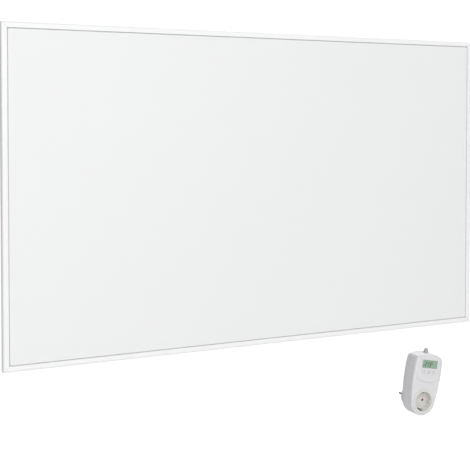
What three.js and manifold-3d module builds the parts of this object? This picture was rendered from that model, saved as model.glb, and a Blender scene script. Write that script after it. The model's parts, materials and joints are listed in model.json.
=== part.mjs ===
// An infrared panel heater hung on a wall, and the plug-in thermostat that switches it.
// Millimetres, +Z up. The wall is the plane y = 0 and the room is on its -Y side.
// The origin is the middle of the four wall brackets, on the wall.
import * as THREE from "three";
import { mergeVertices } from "three/addons/utils/BufferGeometryUtils.js";
import Module from "manifold-3d";

const wasm = await Module();
wasm.setup();

// ---------------------------------------------------------------- driving dimensions: panel
const panelWidth = 1000;
const panelHeight = 600;
const panelDepth = 16; // front of the frame to its back
const wallGap = 24; // back of the frame to the wall
const seatGap = 0.3; // clearance between pieces that rest on each other
const overcut = 1; // how far a cut runs past what it opens

const frameFace = 10; // width of the frame, seen from the front
const frameWall = 1.4;
const frameFrontRadius = 4;
const frameRearRadius = 2.5;
const mitreGap = 0.3;
const ledgeThickness = 1.2;
const plateLedgeDepth = 6.3; // front of the frame to the ledge that carries the front plate
const plateLedgeReach = 2.8;
const backLedgeReach = 6;
const backInset = 1.6; // back of the frame to the back plate's outer face
const keyArm = 34;
const keyThickness = 8;

const plateRecess = 0.4; // front of the frame to the heated face
const plateSheet = 0.8;
const plateCornerRadius = 2.5;
const shadowGap = 1.5; // groove between frame and front plate
const sealTop = 3.4; // front of the frame to the seal in the groove

const filmMargin = 14;
const filmThickness = 0.5;
const busbarWidth = 8;
const busbarMargin = 3;
const leadWidth = 6;
const leadThickness = 0.5;
const leadRiserDepth = 1.5;
const foilThickness = 0.3;
const cutoutRadius = 8;
const cutoutThickness = 5.5;
const cutoutHeights = [120, -60]; // above the panel's middle, beside the live lead

const backSheet = 0.6;
const swageWidth = 12;
const swageHeight = 1.2;
const swageHeights = [-110, 0, 110];
const swageMargin = 190;

const bracketInsetX = 150;
const bracketInsetZ = 110;
const bracketWidth = 36;
const bracketHeight = 44;
const bracketSheet = 1.5;
const bracketFlange = 13;
const keyholeRadius = 5;
const keyholeSlot = 5.6;
const keyholeRise = 14;
const rivetRadius = 3.4;
const rivetHead = 1.6;
const rivetSides = 8;
const rivetInset = 9;

const boxInsetX = 250; // panel's right edge to the terminal box's middle
const boxInsetZ = 100; // panel's lower edge to the terminal box's middle
const boxWidth = 96;
const boxHeight = 64;
const boxDepth = 19.5;
const boxWall = 2;
const boxCorner = 5;
const lidSheet = 2;
const lidScrewInset = 7;
const lidScrewHead = 3; // radius
const lidScrewHeadThickness = 1.4;
const lidScrewShank = 1.3; // radius
const lidBossWall = 2.4;
const wireWindowHeight = 9;
const wireWindowMargin = 3;
const blockWidth = 36;
const blockHeight = 14;
const blockDepth = 11;
const polePitch = 11;
const clampScrewRadius = 2.4;
const clampScrewWell = 4;
const clampWireRadius = 1.9;
const clampWireWall = 2;
const earthScrewInset = 14;
const earthShank = 1.8; // radius
const earthHead = 3.6; // radius
const earthHeadThickness = 2.4;
const glandThread = 6; // radius
const glandFlange = 8; // radius
const glandFlangeLength = 5;
const glandNutLength = 13;
const glandNutWall = 1.3;
const glandGripLength = 6.5;
const glandThreadGrip = 5.85; // how far the thread reaches into the nut
const glandThreadInside = 5; // how far it reaches into the box
const glandBore = 3.3; // radius, for the heater's lead
const glandBodyBore = 3.9;
const glandLip = 1.6;
const glandTaper = 6; // length of the nut's rounded end

// ---------------------------------------------------------------- driving dimensions: thermostat
const plugInset = 125; // panel's right edge to the plug axis
const plugDrop = 156; // panel's lower edge to the plug axis
const outletFace = 10; // wall to the face of the outlet that the thermostat is plugged into
const thermostatRoll = 10.7; // degrees, clockwise from the front, as photographed

const noseRadius = 30; // lower end of the housing, round the plug axis
const housingFlare = 5.2; // how much wider each side is at the display than at the nose
const widestHeight = 55;
const housingTop = 99.7;
const crownRadius = 69;
const shoulderRadius = 11;
const housingDepth = 36;
const housingWall = 2.2;
const housingEdge = 4;
const partingDepth = 18;
const partingGap = 0.4;

const domeRise = 3.5;
const domeSideInset = 4.2;
const domeTopInset = 2.2;
const domeShoulder = 8;
const domeLow = 39.1;
const domeSmileRadius = 56;
const domeJaw = 5;
const domeEdge = 3;

const socketDepth = 17.5;
const socketMouth = 21.3; // radius
const socketFloorRadius = 19.4;
const socketChamfer = 1.2;
const socketWall = 1.6;
const collarRadius = 25.8;
const collarThickness = 1.2;
const socketFloor = 2;
const pinOffset = 9.5; // plug axis to each pin
const pinRadius = 2.4;
const pinHoleRadius = 2.7;
const pinLength = 19;
const keyRibWidth = 5;
const keyRibHeight = 13;
const keyRibReach = 1.8; // how far a rib stands into the socket
const earthSlotRadius = 17.4;

const shutterRadius = 13.6;
const shutterThickness = 2;
const shutterPivot = 2;
const shutterHole = 3.1;
const shutterTurn = 40; // degrees

const sleeveWall = 1.5;
const strapWidth = 4.4;
const strapThickness = 0.8;
const strapHeight = 20.9; // plug axis to the earth strap's middle, beside the socket
const clipHeight = 16.8; // plug axis to the earth clip's bow
const clipBow = [1, 0, 2.2]; // the clip's line above its bow, at its mouth, middle and foot
const plugStrapHeight = 18.4; // plug axis to the earth contact on the plug

const plugRadius = 19.4;
const plugDepth = 18;
const plugWall = 2.6;
const plugChamfer = 1;
const plugKeywayStart = 4; // behind the housing's back
const pinFlangeRadius = 4.2;
const pinFlange = 2;
const pinNose = 1.6;

const boardThickness = 1.6;
const powerBoardDepth = 4.4; // back of the housing to the power board
const boardPosts = [[-18, 30], [18, 30], [-16, 87], [16, 87]];
const boardPostRadius = 2.4;
const boardClearance = 1.2;
const relaySize = [18, 15, 18];
const relayPlace = [-9, 42];
const supplySize = [15, 12, 22];
const supplyPlace = [12, 44];

const windowWidth = 38.7;
const windowHeight = 16.9;
const windowPlace = [-0.5, 78.8];
const windowLip = 1;
const lensBorder = 1.4;
const lensThickness = 1;
const displayWidth = 43;
const displayHeight = 23;
const displayThickness = 4.8;
const controlBoardHalfWidth = 22.2;
const controlBoardLow = 54;
const controlBoardHigh = 94;
const controlPosts = [[-20.7, 57.5], [20.7, 57.5], [-12, 92.3], [12, 92.3]];
const controlPostRadius = 1.3;

const buttonPlaces = { plus: -13.3, power: -0.7, minus: 12 };
const buttonHeight = 61.9; // plug axis to the row of buttons
const buttonHalfWidth = 4.75;
const buttonHalfHeight = 3.75;
const buttonProud = 0.9;
const buttonTravel = 0.6;
const buttonFlange = 1;
const buttonFlangeThickness = 1;
const buttonStemRadius = 1.5;
const buttonStemLength = 0.6;
const switchSize = 4.6;
const switchThickness = 1.8;
const switchPlunger = 1.2; // radius

const bootBaseRadius = 5.5;
const bootTipRadius = 3.15;
const bootLength = 8.4;
const bootNeck = 3.7;
const bootBore = 1.5;
const bootRibs = 4;
const bootGroove = 0.9; // depth between two ribs
const bootFlange = 2.5; // thickness of the collar inside the housing

const screwPlaces = [[-26.4, 19], [26.4, 19], [-26.6, 85.5], [26.6, 85.5]];
const screwBoss = 4.2;
const screwHead = 2.8;
const screwHeadThickness = 2;
const screwHeadWell = 3;
const screwShank = 1.3;
const screwLength = 23;

// ---------------------------------------------------------------- finishes
const powderCoat = { color: 0xf1f1f2, roughness: 0.55, metalness: 0 };
const frameCoat = { color: 0xf6f6f7, roughness: 0.4, metalness: 0 };
const sealGrey = { color: 0xa9a9ab, roughness: 0.8, metalness: 0 };
const carbonFilm = { color: 0x1c1c1e, roughness: 0.5, metalness: 0 };
const copper = { color: 0xb87345, roughness: 0.35, metalness: 1 };
const siliconeRed = { color: 0x9b3b30, roughness: 0.6, metalness: 0 };
const aluminiumFoil = { color: 0xd4d6d8, roughness: 0.25, metalness: 1 };
const mineralWool = { color: 0xd9cfae, roughness: 1, metalness: 0 };
const galvanised = { color: 0xb4b9bd, roughness: 0.45, metalness: 0.9 };
const darkPlastic = { color: 0x2a2b2d, roughness: 0.5, metalness: 0 };
const ceramicWhite = { color: 0xe6e3da, roughness: 0.4, metalness: 0 };
const nickel = { color: 0xc4c2bc, roughness: 0.25, metalness: 1 };
const zincScrew = { color: 0xbfc3c6, roughness: 0.3, metalness: 1 };
const housingWhite = { color: 0xe2e1e2, roughness: 0.42, metalness: 0 };
const socketWhite = { color: 0xdcdad5, roughness: 0.35, metalness: 0 };
const buttonWhite = { color: 0xdfdddd, roughness: 0.5, metalness: 0 };
const shutterRed = { color: 0x9a4334, roughness: 0.45, metalness: 0 };
const displayGreen = { color: 0xa5c3a8, roughness: 0.4, metalness: 0 };
const clearLens = { color: 0xf2fff6, roughness: 0.08, metalness: 0, transparent: true, opacity: 0.25 };
const boardGreen = { color: 0x2c6b45, roughness: 0.5, metalness: 0 };
const relayBlue = { color: 0x2f5f9e, roughness: 0.5, metalness: 0 };
const bootGrey = { color: 0xa8a09e, roughness: 0.7, metalness: 0 };

// ---------------------------------------------------------------- solids
// A closed geometry as a solid that can be joined and cut.
function solidOf(geometry) {
  const bare = geometry.clone();
  bare.deleteAttribute("normal");
  bare.deleteAttribute("uv");
  const merged = mergeVertices(bare, 1e-4);
  const made = new wasm.Manifold(
    new wasm.Mesh({
      numProp: 3,
      vertProperties: merged.attributes.position.array,
      triVerts: new Uint32Array(merged.index.array),
    }),
  );
  return made.volume() < 0 ? turnedOut(merged) : made;
}

// The same closed surface with every triangle turned round, for a profile drawn the other way.
function turnedOut(merged) {
  const triVerts = new Uint32Array(merged.index.array).reverse();
  return new wasm.Manifold(
    new wasm.Mesh({ numProp: 3, vertProperties: merged.attributes.position.array, triVerts }),
  );
}

function geometryOf(solid) {
  const mesh = solid.getMesh();
  const geometry = new THREE.BufferGeometry();
  geometry.setAttribute("position", new THREE.BufferAttribute(mesh.vertProperties, 3));
  geometry.setIndex(new THREE.BufferAttribute(mesh.triVerts, 1));
  const faceted = geometry.toNonIndexed();
  faceted.computeVertexNormals();
  return faceted;
}

const join = (...solids) => solids.reduce((whole, next) => whole.add(next));
const cut = (solid, ...tools) => tools.reduce((whole, next) => whole.subtract(next), solid);

function block([x0, x1], [y0, y1], [z0, z1]) {
  const geometry = new THREE.BoxGeometry(x1 - x0, y1 - y0, z1 - z0);
  geometry.translate((x0 + x1) / 2, (y0 + y1) / 2, (z0 + z1) / 2);
  return solidOf(geometry);
}

// A rod along Y at (x, z), or along Z at (x, y).
function rodY(radius, [y0, y1], [x, z] = [0, 0], sides = 16) {
  const geometry = new THREE.CylinderGeometry(radius, radius, y1 - y0, sides);
  geometry.translate(x, (y0 + y1) / 2, z);
  return solidOf(geometry);
}

function rodZ(radius, [z0, z1], [x, y] = [0, 0], sides = 16) {
  const geometry = new THREE.CylinderGeometry(radius, radius, z1 - z0, sides);
  geometry.rotateX(Math.PI / 2);
  geometry.translate(x, y, (z0 + z1) / 2);
  return solidOf(geometry);
}

// A profile of [radius, place] pairs turned round the Y axis, then moved to (x, z).
function turnedY(profile, [x, z] = [0, 0], sides = 24) {
  const points = profile.map(([radius, y]) => new THREE.Vector2(radius, y));
  const geometry = new THREE.LatheGeometry(points, sides);
  geometry.translate(x, 0, z);
  return solidOf(geometry);
}

// The same round the Z axis, at (x, y).
function turnedZ(profile, [x, y] = [0, 0], sides = 16) {
  const points = profile.map(([radius, z]) => new THREE.Vector2(radius, z));
  const geometry = new THREE.LatheGeometry(points, sides);
  geometry.rotateX(Math.PI / 2);
  geometry.translate(x, y, 0);
  return solidOf(geometry);
}

// An outline seen from the front, x right and z up, made a plate between two depths.
// With an edge it is rounded at both faces, inside the outline.
function plate(outline, [yFront, yRear], { holes = [], edge = 0, edgeSteps = 2 } = {}) {
  const shape = new THREE.Shape(outline);
  shape.holes = holes.map((hole) => new THREE.Path(hole));
  const geometry = new THREE.ExtrudeGeometry(shape, {
    depth: yRear - yFront - 2 * edge,
    bevelEnabled: edge > 0,
    bevelSize: edge,
    bevelThickness: edge,
    bevelOffset: -edge,
    bevelSegments: edgeSteps,
  });
  geometry.rotateX(Math.PI / 2);
  geometry.translate(0, yRear - edge, 0);
  return solidOf(geometry);
}

// A section drawn in (y, z) as a geometry that runs along X.
function alongX(section, [x0, x1], holes = []) {
  const shape = new THREE.Shape(section);
  shape.holes = holes.map((hole) => new THREE.Path(hole));
  const geometry = new THREE.ExtrudeGeometry(shape, { depth: x1 - x0, bevelEnabled: false });
  const toX = new THREE.Matrix4().makeBasis(
    new THREE.Vector3(0, 1, 0),
    new THREE.Vector3(0, 0, 1),
    new THREE.Vector3(1, 0, 0),
  );
  geometry.applyMatrix4(toX);
  geometry.translate(x0, 0, 0);
  return geometry;
}

// ---------------------------------------------------------------- outlines
const stepAngle = Math.PI / 12;

// Points on an arc from angle a to angle b, in steps of about stepAngle and at least `least` of them.
function arc([cx, cy], radius, a, b, least = 2) {
  const steps = Math.max(least, Math.ceil(Math.abs(b - a) / stepAngle));
  return Array.from({ length: steps + 1 }, (_, i) => {
    const angle = a + ((b - a) * i) / steps;
    return new THREE.Vector2(cx + radius * Math.cos(angle), cy + radius * Math.sin(angle));
  });
}

function circle(centre, radius, sides = 16) {
  return arc(centre, radius, 0, 2 * Math.PI, sides).slice(0, -1);
}

function oval([cx, cz], halfWidth, halfHeight, sides = 18) {
  return circle([0, 0], 1, sides).map(
    (p) => new THREE.Vector2(cx + halfWidth * p.x, cz + halfHeight * p.y),
  );
}

function rectangle([x0, x1], [z0, z1], radius = 0) {
  if (radius <= 0) {
    return [[x0, z0], [x1, z0], [x1, z1], [x0, z1]].map(([x, z]) => new THREE.Vector2(x, z));
  }
  const quarter = Math.PI / 2;
  return [[x1, z0, -1], [x1, z1, 0], [x0, z1, 1], [x0, z0, 2]].flatMap(([x, z, turn]) => {
    const centre = [x + (x === x1 ? -radius : radius), z + (z === z1 ? -radius : radius)];
    return arc(centre, radius, turn * quarter, (turn + 1) * quarter, 2);
  });
}

// A closed convex outline that follows large circles, each rounded into the next.
// circles: [[cx, cz, radius], ...] anticlockwise; corners: the rounding after each circle.
// inset moves the whole outline inwards by the same distance everywhere.
function roundedOutline(circles, corners, inset) {
  const centres = circles.map((from, i) => {
    const to = circles[(i + 1) % circles.length];
    return insideCorner(from, to, corners[i]);
  });
  const angle = ([cx, cz], [px, pz]) => Math.atan2(pz - cz, px - cx);
  const ahead = (a, b) => (b < a - 1e-9 ? b + 2 * Math.PI : b);
  return circles.flatMap(([cx, cz, radius], i) => {
    const before = centres[(i + centres.length - 1) % centres.length];
    const after = centres[i];
    const next = circles[(i + 1) % circles.length];
    const a = angle([cx, cz], before);
    const b = ahead(a, angle([cx, cz], after));
    const c = ahead(b, angle(next, after));
    const side = arc([cx, cz], radius - inset, a, b, 5);
    const corner = arc(after, Math.max(0.2, corners[i] - inset), b, c, 3);
    return [...side.slice(0, -1), ...corner.slice(0, -1)];
  });
}

// Centre of the corner circle that touches two larger circles from inside, on their left.
function insideCorner([ax, az, ar], [bx, bz, br], corner) {
  const ra = ar - corner;
  const rb = br - corner;
  const dx = bx - ax;
  const dz = bz - az;
  const span = Math.hypot(dx, dz);
  const along = (ra * ra - rb * rb + span * span) / (2 * span);
  const off = Math.sqrt(Math.max(0, ra * ra - along * along));
  return [ax + (along * dx - off * dz) / span, az + (along * dz + off * dx) / span];
}

// A strip of sheet bent along a line of points, as a closed outline.
function strip(points, thickness) {
  const line = points.map(([a, b]) => new THREE.Vector2(a, b));
  const offset = (side) =>
    line.map((p, i) => {
      const back = line[Math.max(i - 1, 0)];
      const ahead = line[Math.min(i + 1, line.length - 1)];
      const into = p.clone().sub(back).normalize();
      const out = ahead.clone().sub(p).normalize();
      const first = i === 0 ? out : into;
      const last = i === line.length - 1 ? into : out;
      const mean = first.clone().add(last).normalize();
      const reach = thickness / 2 / Math.max(0.5, mean.dot(first));
      return new THREE.Vector2(p.x - side * mean.y * reach, p.y + side * mean.x * reach);
    });
  return [...offset(1), ...offset(-1).reverse()];
}

function addPiece(group, name, solid, finish) {
  const mesh = new THREE.Mesh(geometryOf(solid), new THREE.MeshStandardMaterial(finish));
  mesh.name = name;
  group.add(mesh);
  return mesh;
}

// ---------------------------------------------------------------- panel: places that its pieces share
const halfWidth = panelWidth / 2;
const halfHeight = panelHeight / 2;
const frontY = -(wallGap + panelDepth);
const atDepth = (depth) => frontY + depth; // depth behind the frame's front face

const plateBack = plateRecess + plateSheet;
const filmFront = plateBack + seatGap;
const filmBack = filmFront + filmThickness;
const leadFront = filmBack + seatGap;
const leadBack = leadFront + leadThickness;
const foilFront = leadBack + seatGap;
const foilBack = foilFront + foilThickness;
const wadFront = foilBack + seatGap;
const backOuter = panelDepth - backInset;
const backInner = backOuter - backSheet;
const backLedgeBack = backInner - seatGap;
const backLedgeFront = backLedgeBack - ledgeThickness;
const wadBack = backLedgeFront - seatGap;
const plateEdge = frameFace + shadowGap; // panel's edge to the front plate's edge
const wadEdge = frameFace + Math.max(plateLedgeReach, shadowGap + plateSheet) + seatGap;
const backEdge = frameFace + seatGap;
const filmEdge = plateEdge + plateSheet + filmMargin;

const boxX = halfWidth - boxInsetX;
const boxZ = -halfHeight + boxInsetZ;
const boxFrontY = atDepth(backOuter) + seatGap;
const boxFloorY = boxFrontY + boxWall;
const boxRimY = boxFrontY + boxDepth;
const leadOffset = polePitch; // the terminals' outer poles take the two leads
const riserLow = boxZ + blockHeight / 2 + seatGap;
const riserHigh = riserLow + leadRiserDepth;
const windowLow = boxZ + blockHeight / 2;
const windowHigh = windowLow + wireWindowHeight;
const windowHalf = leadOffset + leadWidth / 2 + wireWindowMargin;
const liveX = boxX - leadOffset;
const neutralX = boxX + leadOffset;
const cutoutX = liveX - leadWidth / 2 - seatGap - cutoutRadius;
const earthX = boxX - boxWidth / 2 + earthScrewInset;
const earthZ = boxZ + boxHeight / 2 - earthScrewInset;

const spread = (edge) => [[-halfWidth + edge, halfWidth - edge], [-halfHeight + edge, halfHeight - edge]];

// ---------------------------------------------------------------- panel: frame
// Section of a frame bar as (y behind its front, z inwards from its outer edge): a hollow bar
// with a rounded outer front, and two ledges inside for the front plate and the back plate.
function frameSection() {
  const plateLedge = plateLedgeDepth + ledgeThickness;
  const corner = (points) => points.map(([y, z]) => new THREE.Vector2(y, z));
  return [
    ...arc([frameFrontRadius, frameFrontRadius], frameFrontRadius, Math.PI, 1.5 * Math.PI, 4),
    ...arc([panelDepth - frameRearRadius, frameRearRadius], frameRearRadius, 1.5 * Math.PI, 2 * Math.PI, 2),
    ...corner([
      [panelDepth, frameFace],
      [backLedgeBack, frameFace],
      [backLedgeBack, frameFace + backLedgeReach],
      [backLedgeFront, frameFace + backLedgeReach],
      [backLedgeFront, frameFace],
      [plateLedge, frameFace],
      [plateLedge, frameFace + plateLedgeReach],
      [plateLedgeDepth, frameFace + plateLedgeReach],
      [plateLedgeDepth, frameFace],
      [0, frameFace],
    ]),
  ];
}

function frameChamber() {
  const front = Math.max(0.2, frameFrontRadius - frameWall);
  const rear = Math.max(0.2, frameRearRadius - frameWall);
  const low = frameWall;
  const far = panelDepth - frameWall;
  return [
    ...arc([low + front, low + front], front, Math.PI, 1.5 * Math.PI, 3),
    ...arc([far - rear, low + rear], rear, 1.5 * Math.PI, 2 * Math.PI, 2),
    new THREE.Vector2(far, frameFace - frameWall),
    new THREE.Vector2(low, frameFace - frameWall),
  ];
}

// A bar along X with its outer edge at z = 0, cut at 45 degrees at both ends.
function frameBar(length) {
  const geometry = alongX(frameSection(), [-length / 2, length / 2], [frameChamber()]);
  const position = geometry.getAttribute("position");
  for (let i = 0; i < position.count; i++) {
    const end = Math.sign(position.getX(i));
    position.setX(i, end * (length / 2 - position.getZ(i) - mitreGap / Math.SQRT2));
  }
  return solidOf(geometry);
}

// An L that lies in the chambers of two bars and holds their corner.
function cornerKey() {
  const near = frameWall + seatGap;
  const far = frameFace - frameWall - seatGap;
  const middle = panelDepth / 2 + (frameFrontRadius - frameRearRadius) / 4;
  const outline = [[near, near], [keyArm, near], [keyArm, far], [far, far], [far, keyArm], [near, keyArm]];
  return plate(
    outline.map(([x, z]) => new THREE.Vector2(x, z)),
    [middle - keyThickness / 2, middle + keyThickness / 2],
  );
}

function addFrame(group) {
  const sides = [
    ["bottom", panelWidth, 0, -halfHeight, 0],
    ["left", panelHeight, -halfWidth, 0, 1],
    ["top", panelWidth, 0, halfHeight, 2],
    ["right", panelHeight, halfWidth, 0, 3],
  ];
  for (const [side, length, x, z, turn] of sides) {
    const bar = addPiece(group, `frame_${side}`, frameBar(length), frameCoat);
    bar.position.set(x, frontY, z);
    bar.rotation.y = (turn * Math.PI) / 2;
  }
  const corners = [
    ["bottom_left", -halfWidth, -halfHeight, 0],
    ["top_left", -halfWidth, halfHeight, 1],
    ["top_right", halfWidth, halfHeight, 2],
    ["bottom_right", halfWidth, -halfHeight, 3],
  ];
  for (const [corner, x, z, turn] of corners) {
    const key = addPiece(group, `corner_key_${corner}`, cornerKey(), galvanised);
    key.position.set(x, frontY, z);
    key.rotation.y = (turn * Math.PI) / 2;
  }
}

// ---------------------------------------------------------------- panel: heated layers
function addHeatedLayers(group) {
  const [plateX, plateZ] = spread(plateEdge);
  const plateFlange = plateLedgeDepth - seatGap;
  const tray = cut(
    plate(rectangle(plateX, plateZ, plateCornerRadius), [atDepth(plateRecess), atDepth(plateFlange)]),
    plate(
      rectangle(...spread(plateEdge + plateSheet), Math.max(0.5, plateCornerRadius - plateSheet)),
      [atDepth(plateBack), atDepth(plateFlange + overcut)],
    ),
  );
  addPiece(group, "front_plate", tray, powderCoat);

  const seal = plate(rectangle(...spread(frameFace + seatGap)), [atDepth(sealTop), atDepth(plateFlange)], {
    holes: [rectangle(...spread(plateEdge - seatGap)).reverse()],
  });
  addPiece(group, "edge_seal", seal, sealGrey);

  const [filmX, filmZ] = spread(filmEdge);
  addPiece(group, "heating_film", block(filmX, [atDepth(filmFront), atDepth(filmBack)], filmZ), carbonFilm);

  const leadLayer = [atDepth(leadFront), atDepth(leadBack)];
  const barTop = filmZ[1] - busbarMargin;
  const barBottom = filmZ[0] + busbarMargin;
  addPiece(group, "busbar_top", block(filmX, leadLayer, [barTop - busbarWidth, barTop]), copper);
  addPiece(group, "busbar_bottom", block(filmX, leadLayer, [barBottom, barBottom + busbarWidth]), copper);

  const riserTop = boxFloorY + blockDepth / 2;
  const lead = (x, zRange) =>
    join(
      block([x - leadWidth / 2, x + leadWidth / 2], leadLayer, zRange),
      block([x - leadWidth / 2, x + leadWidth / 2], [atDepth(leadFront), riserTop], [riserLow, riserHigh]),
    );
  addPiece(group, "lead_live", lead(liveX, [riserLow, barTop - busbarWidth - seatGap]), siliconeRed);
  addPiece(group, "lead_neutral", lead(neutralX, [barBottom + busbarWidth + seatGap, riserHigh]), siliconeRed);

  cutoutHeights.forEach((z, i) => {
    const cutout = rodY(cutoutRadius, [atDepth(leadFront), atDepth(leadFront + cutoutThickness)], [cutoutX, z]);
    addPiece(group, `thermal_cutout_${i + 1}`, cutout, nickel);
  });

  const openings = [
    rectangle([boxX - windowHalf, boxX + windowHalf], [windowLow, windowHigh]).reverse(),
    ...cutoutHeights.map((z) => circle([cutoutX, z], cutoutRadius + seatGap).reverse()),
  ];
  const wadPlan = rectangle(...spread(wadEdge));
  const foil = plate(wadPlan, [atDepth(foilFront), atDepth(foilBack)], { holes: openings });
  addPiece(group, "reflector_foil", foil, aluminiumFoil);
  const wad = plate(wadPlan, [atDepth(wadFront), atDepth(wadBack)], { holes: openings });
  addPiece(group, "insulation_board", wad, mineralWool);
}

// ---------------------------------------------------------------- panel: back and wall brackets
function addBack(group) {
  const sheet = plate(rectangle(...spread(backEdge)), [atDepth(backInner), atDepth(backOuter)], {
    holes: [
      rectangle([boxX - windowHalf, boxX + windowHalf], [windowLow, windowHigh]).reverse(),
      circle([earthX, earthZ], earthShank + seatGap, 12).reverse(),
    ],
  });
  const end = halfWidth - swageMargin - swageWidth / 2;
  const swages = swageHeights.map((z) => {
    const outline = [
      ...arc([end, z], swageWidth / 2, -Math.PI / 2, Math.PI / 2, 4),
      ...arc([-end, z], swageWidth / 2, Math.PI / 2, 1.5 * Math.PI, 4),
    ];
    return plate(outline, [atDepth(backOuter) - backSheet / 2, atDepth(backOuter) + swageHeight]);
  });
  addPiece(group, "back_plate", join(sheet, ...swages), galvanised);
}

// A hat-shaped bracket, riveted to the back plate, that hangs on a screw in the wall. The screw's
// head goes in through the round hole, and its shank rises in the slot as the panel comes down.
function wallBracket() {
  const half = bracketWidth / 2;
  const tall = [-bracketHeight / 2, bracketHeight / 2];
  const foot = atDepth(backOuter) + seatGap;
  const web = block([-half, half], [-bracketSheet, 0], tall);
  const legs = [-1, 1].map((side) => {
    const x = [side * half, side * (half - bracketSheet)].sort((a, b) => a - b);
    return block(x, [foot, -bracketSheet / 2], tall);
  });
  const flanges = [-1, 1].map((side) => {
    const x = [side * (half - bracketSheet / 2), side * (half + bracketFlange)].sort((a, b) => a - b);
    return block(x, [foot, foot + bracketSheet], tall);
  });
  const head = [foot + bracketSheet / 2, foot + bracketSheet + rivetHead];
  const rivets = [-1, 1].flatMap((side) =>
    [-1, 1].map((end) => {
      const place = [side * (half + bracketFlange / 2), end * (bracketHeight / 2 - rivetInset)];
      return rodY(rivetRadius, head, place, rivetSides);
    }),
  );
  const through = [-bracketSheet - overcut, overcut];
  const keyhole = -keyholeRise / 2;
  const slotEnd = keyhole + keyholeRise;
  return cut(
    join(web, ...legs, ...flanges, ...rivets),
    rodY(keyholeRadius, through, [0, keyhole]),
    block([-keyholeSlot / 2, keyholeSlot / 2], through, [keyhole, slotEnd]),
    rodY(keyholeSlot / 2, through, [0, slotEnd], 12),
  );
}

function addBrackets(group) {
  for (const [row, z] of [["upper", 1], ["lower", -1]]) {
    for (const [side, x] of [["left", -1], ["right", 1]]) {
      const bracket = addPiece(group, `wall_bracket_${row}_${side}`, wallBracket(), galvanised);
      bracket.position.set(x * (halfWidth - bracketInsetX), 0, z * (halfHeight - bracketInsetZ));
    }
  }
}

// ---------------------------------------------------------------- panel: terminal box
const boxX0 = boxX - boxWidth / 2;
const boxX1 = boxX + boxWidth / 2;
const boxZ0 = boxZ - boxHeight / 2;
const boxZ1 = boxZ + boxHeight / 2;
const glandY = (boxFloorY + boxRimY) / 2;
const lidScrewPlaces = [
  [boxX0 + lidScrewInset, boxZ0 + lidScrewInset],
  [boxX1 - lidScrewInset, boxZ1 - lidScrewInset],
];

function addTerminalBox(group) {
  const inside = rectangle(
    [boxX0 + boxWall, boxX1 - boxWall],
    [boxZ0 + boxWall, boxZ1 - boxWall],
    Math.max(0.5, boxCorner - boxWall),
  );
  const outside = rectangle([boxX0, boxX1], [boxZ0, boxZ1], boxCorner);
  const throughFloor = [boxFrontY - overcut, boxFloorY + overcut];
  const bosses = lidScrewPlaces.map((place) =>
    rodY(lidScrewShank + lidBossWall, [boxFrontY + boxWall / 2, boxRimY], place, 16),
  );
  const base = cut(
    join(
      cut(plate(outside, [boxFrontY, boxRimY]), plate(inside, [boxFloorY, boxRimY + overcut])),
      ...bosses,
    ),
    ...lidScrewPlaces.map((place) => rodY(lidScrewShank + seatGap, [boxFloorY, boxRimY + overcut], place, 12)),
    block([boxX - windowHalf, boxX + windowHalf], throughFloor, [windowLow, windowHigh]),
    rodY(earthShank + seatGap, throughFloor, [earthX, earthZ], 12),
    rodZ(glandThread + seatGap, [boxZ0 - overcut, boxZ0 + boxWall + overcut], [boxX, glandY]),
  );
  addPiece(group, "terminal_box", base, darkPlastic);

  const lidY = [boxRimY + seatGap, boxRimY + seatGap + lidSheet];
  const lid = cut(
    plate(outside, lidY),
    ...lidScrewPlaces.map((place) =>
      rodY(lidScrewShank + seatGap, [lidY[0] - overcut, lidY[1] + overcut], place, 12),
    ),
  );
  addPiece(group, "terminal_box_lid", lid, darkPlastic);
  lidScrewPlaces.forEach((place, i) => {
    const headY = lidY[1] + seatGap;
    const screw = join(
      rodY(lidScrewHead, [headY, headY + lidScrewHeadThickness], place, 16),
      rodY(lidScrewShank, [boxFloorY + seatGap, headY + lidScrewHeadThickness / 2], place, 12),
    );
    addPiece(group, `lid_screw_${i + 1}`, screw, zincScrew);
  });

  const blockY = [boxFloorY + seatGap, boxFloorY + seatGap + blockDepth];
  const blockZ = [boxZ - blockHeight / 2, boxZ + blockHeight / 2];
  const poles = [-polePitch, 0, polePitch].map((x) => boxX + x);
  const wireY = blockY[0] + clampWireWall + clampWireRadius;
  const wireEnd = boxZ - clampScrewRadius;
  const terminals = cut(
    block([boxX - blockWidth / 2, boxX + blockWidth / 2], blockY, blockZ),
    ...poles.flatMap((x) => [
      rodY(clampScrewRadius, [blockY[1] - clampScrewWell, blockY[1] + overcut], [x, boxZ], 12),
      rodZ(clampWireRadius, [blockZ[0] - overcut, wireEnd], [x, wireY], 12),
    ]),
  );
  addPiece(group, "terminal_block", terminals, ceramicWhite);

  const earth = join(
    rodY(earthHead, [boxFloorY + seatGap, boxFloorY + seatGap + earthHeadThickness], [earthX, earthZ], 16),
    rodY(
      earthShank,
      [atDepth(backInner) - overcut, boxFloorY + seatGap + earthHeadThickness / 2],
      [earthX, earthZ],
      12,
    ),
  );
  addPiece(group, "earth_screw", earth, zincScrew);
  addGland(group);
}

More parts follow.
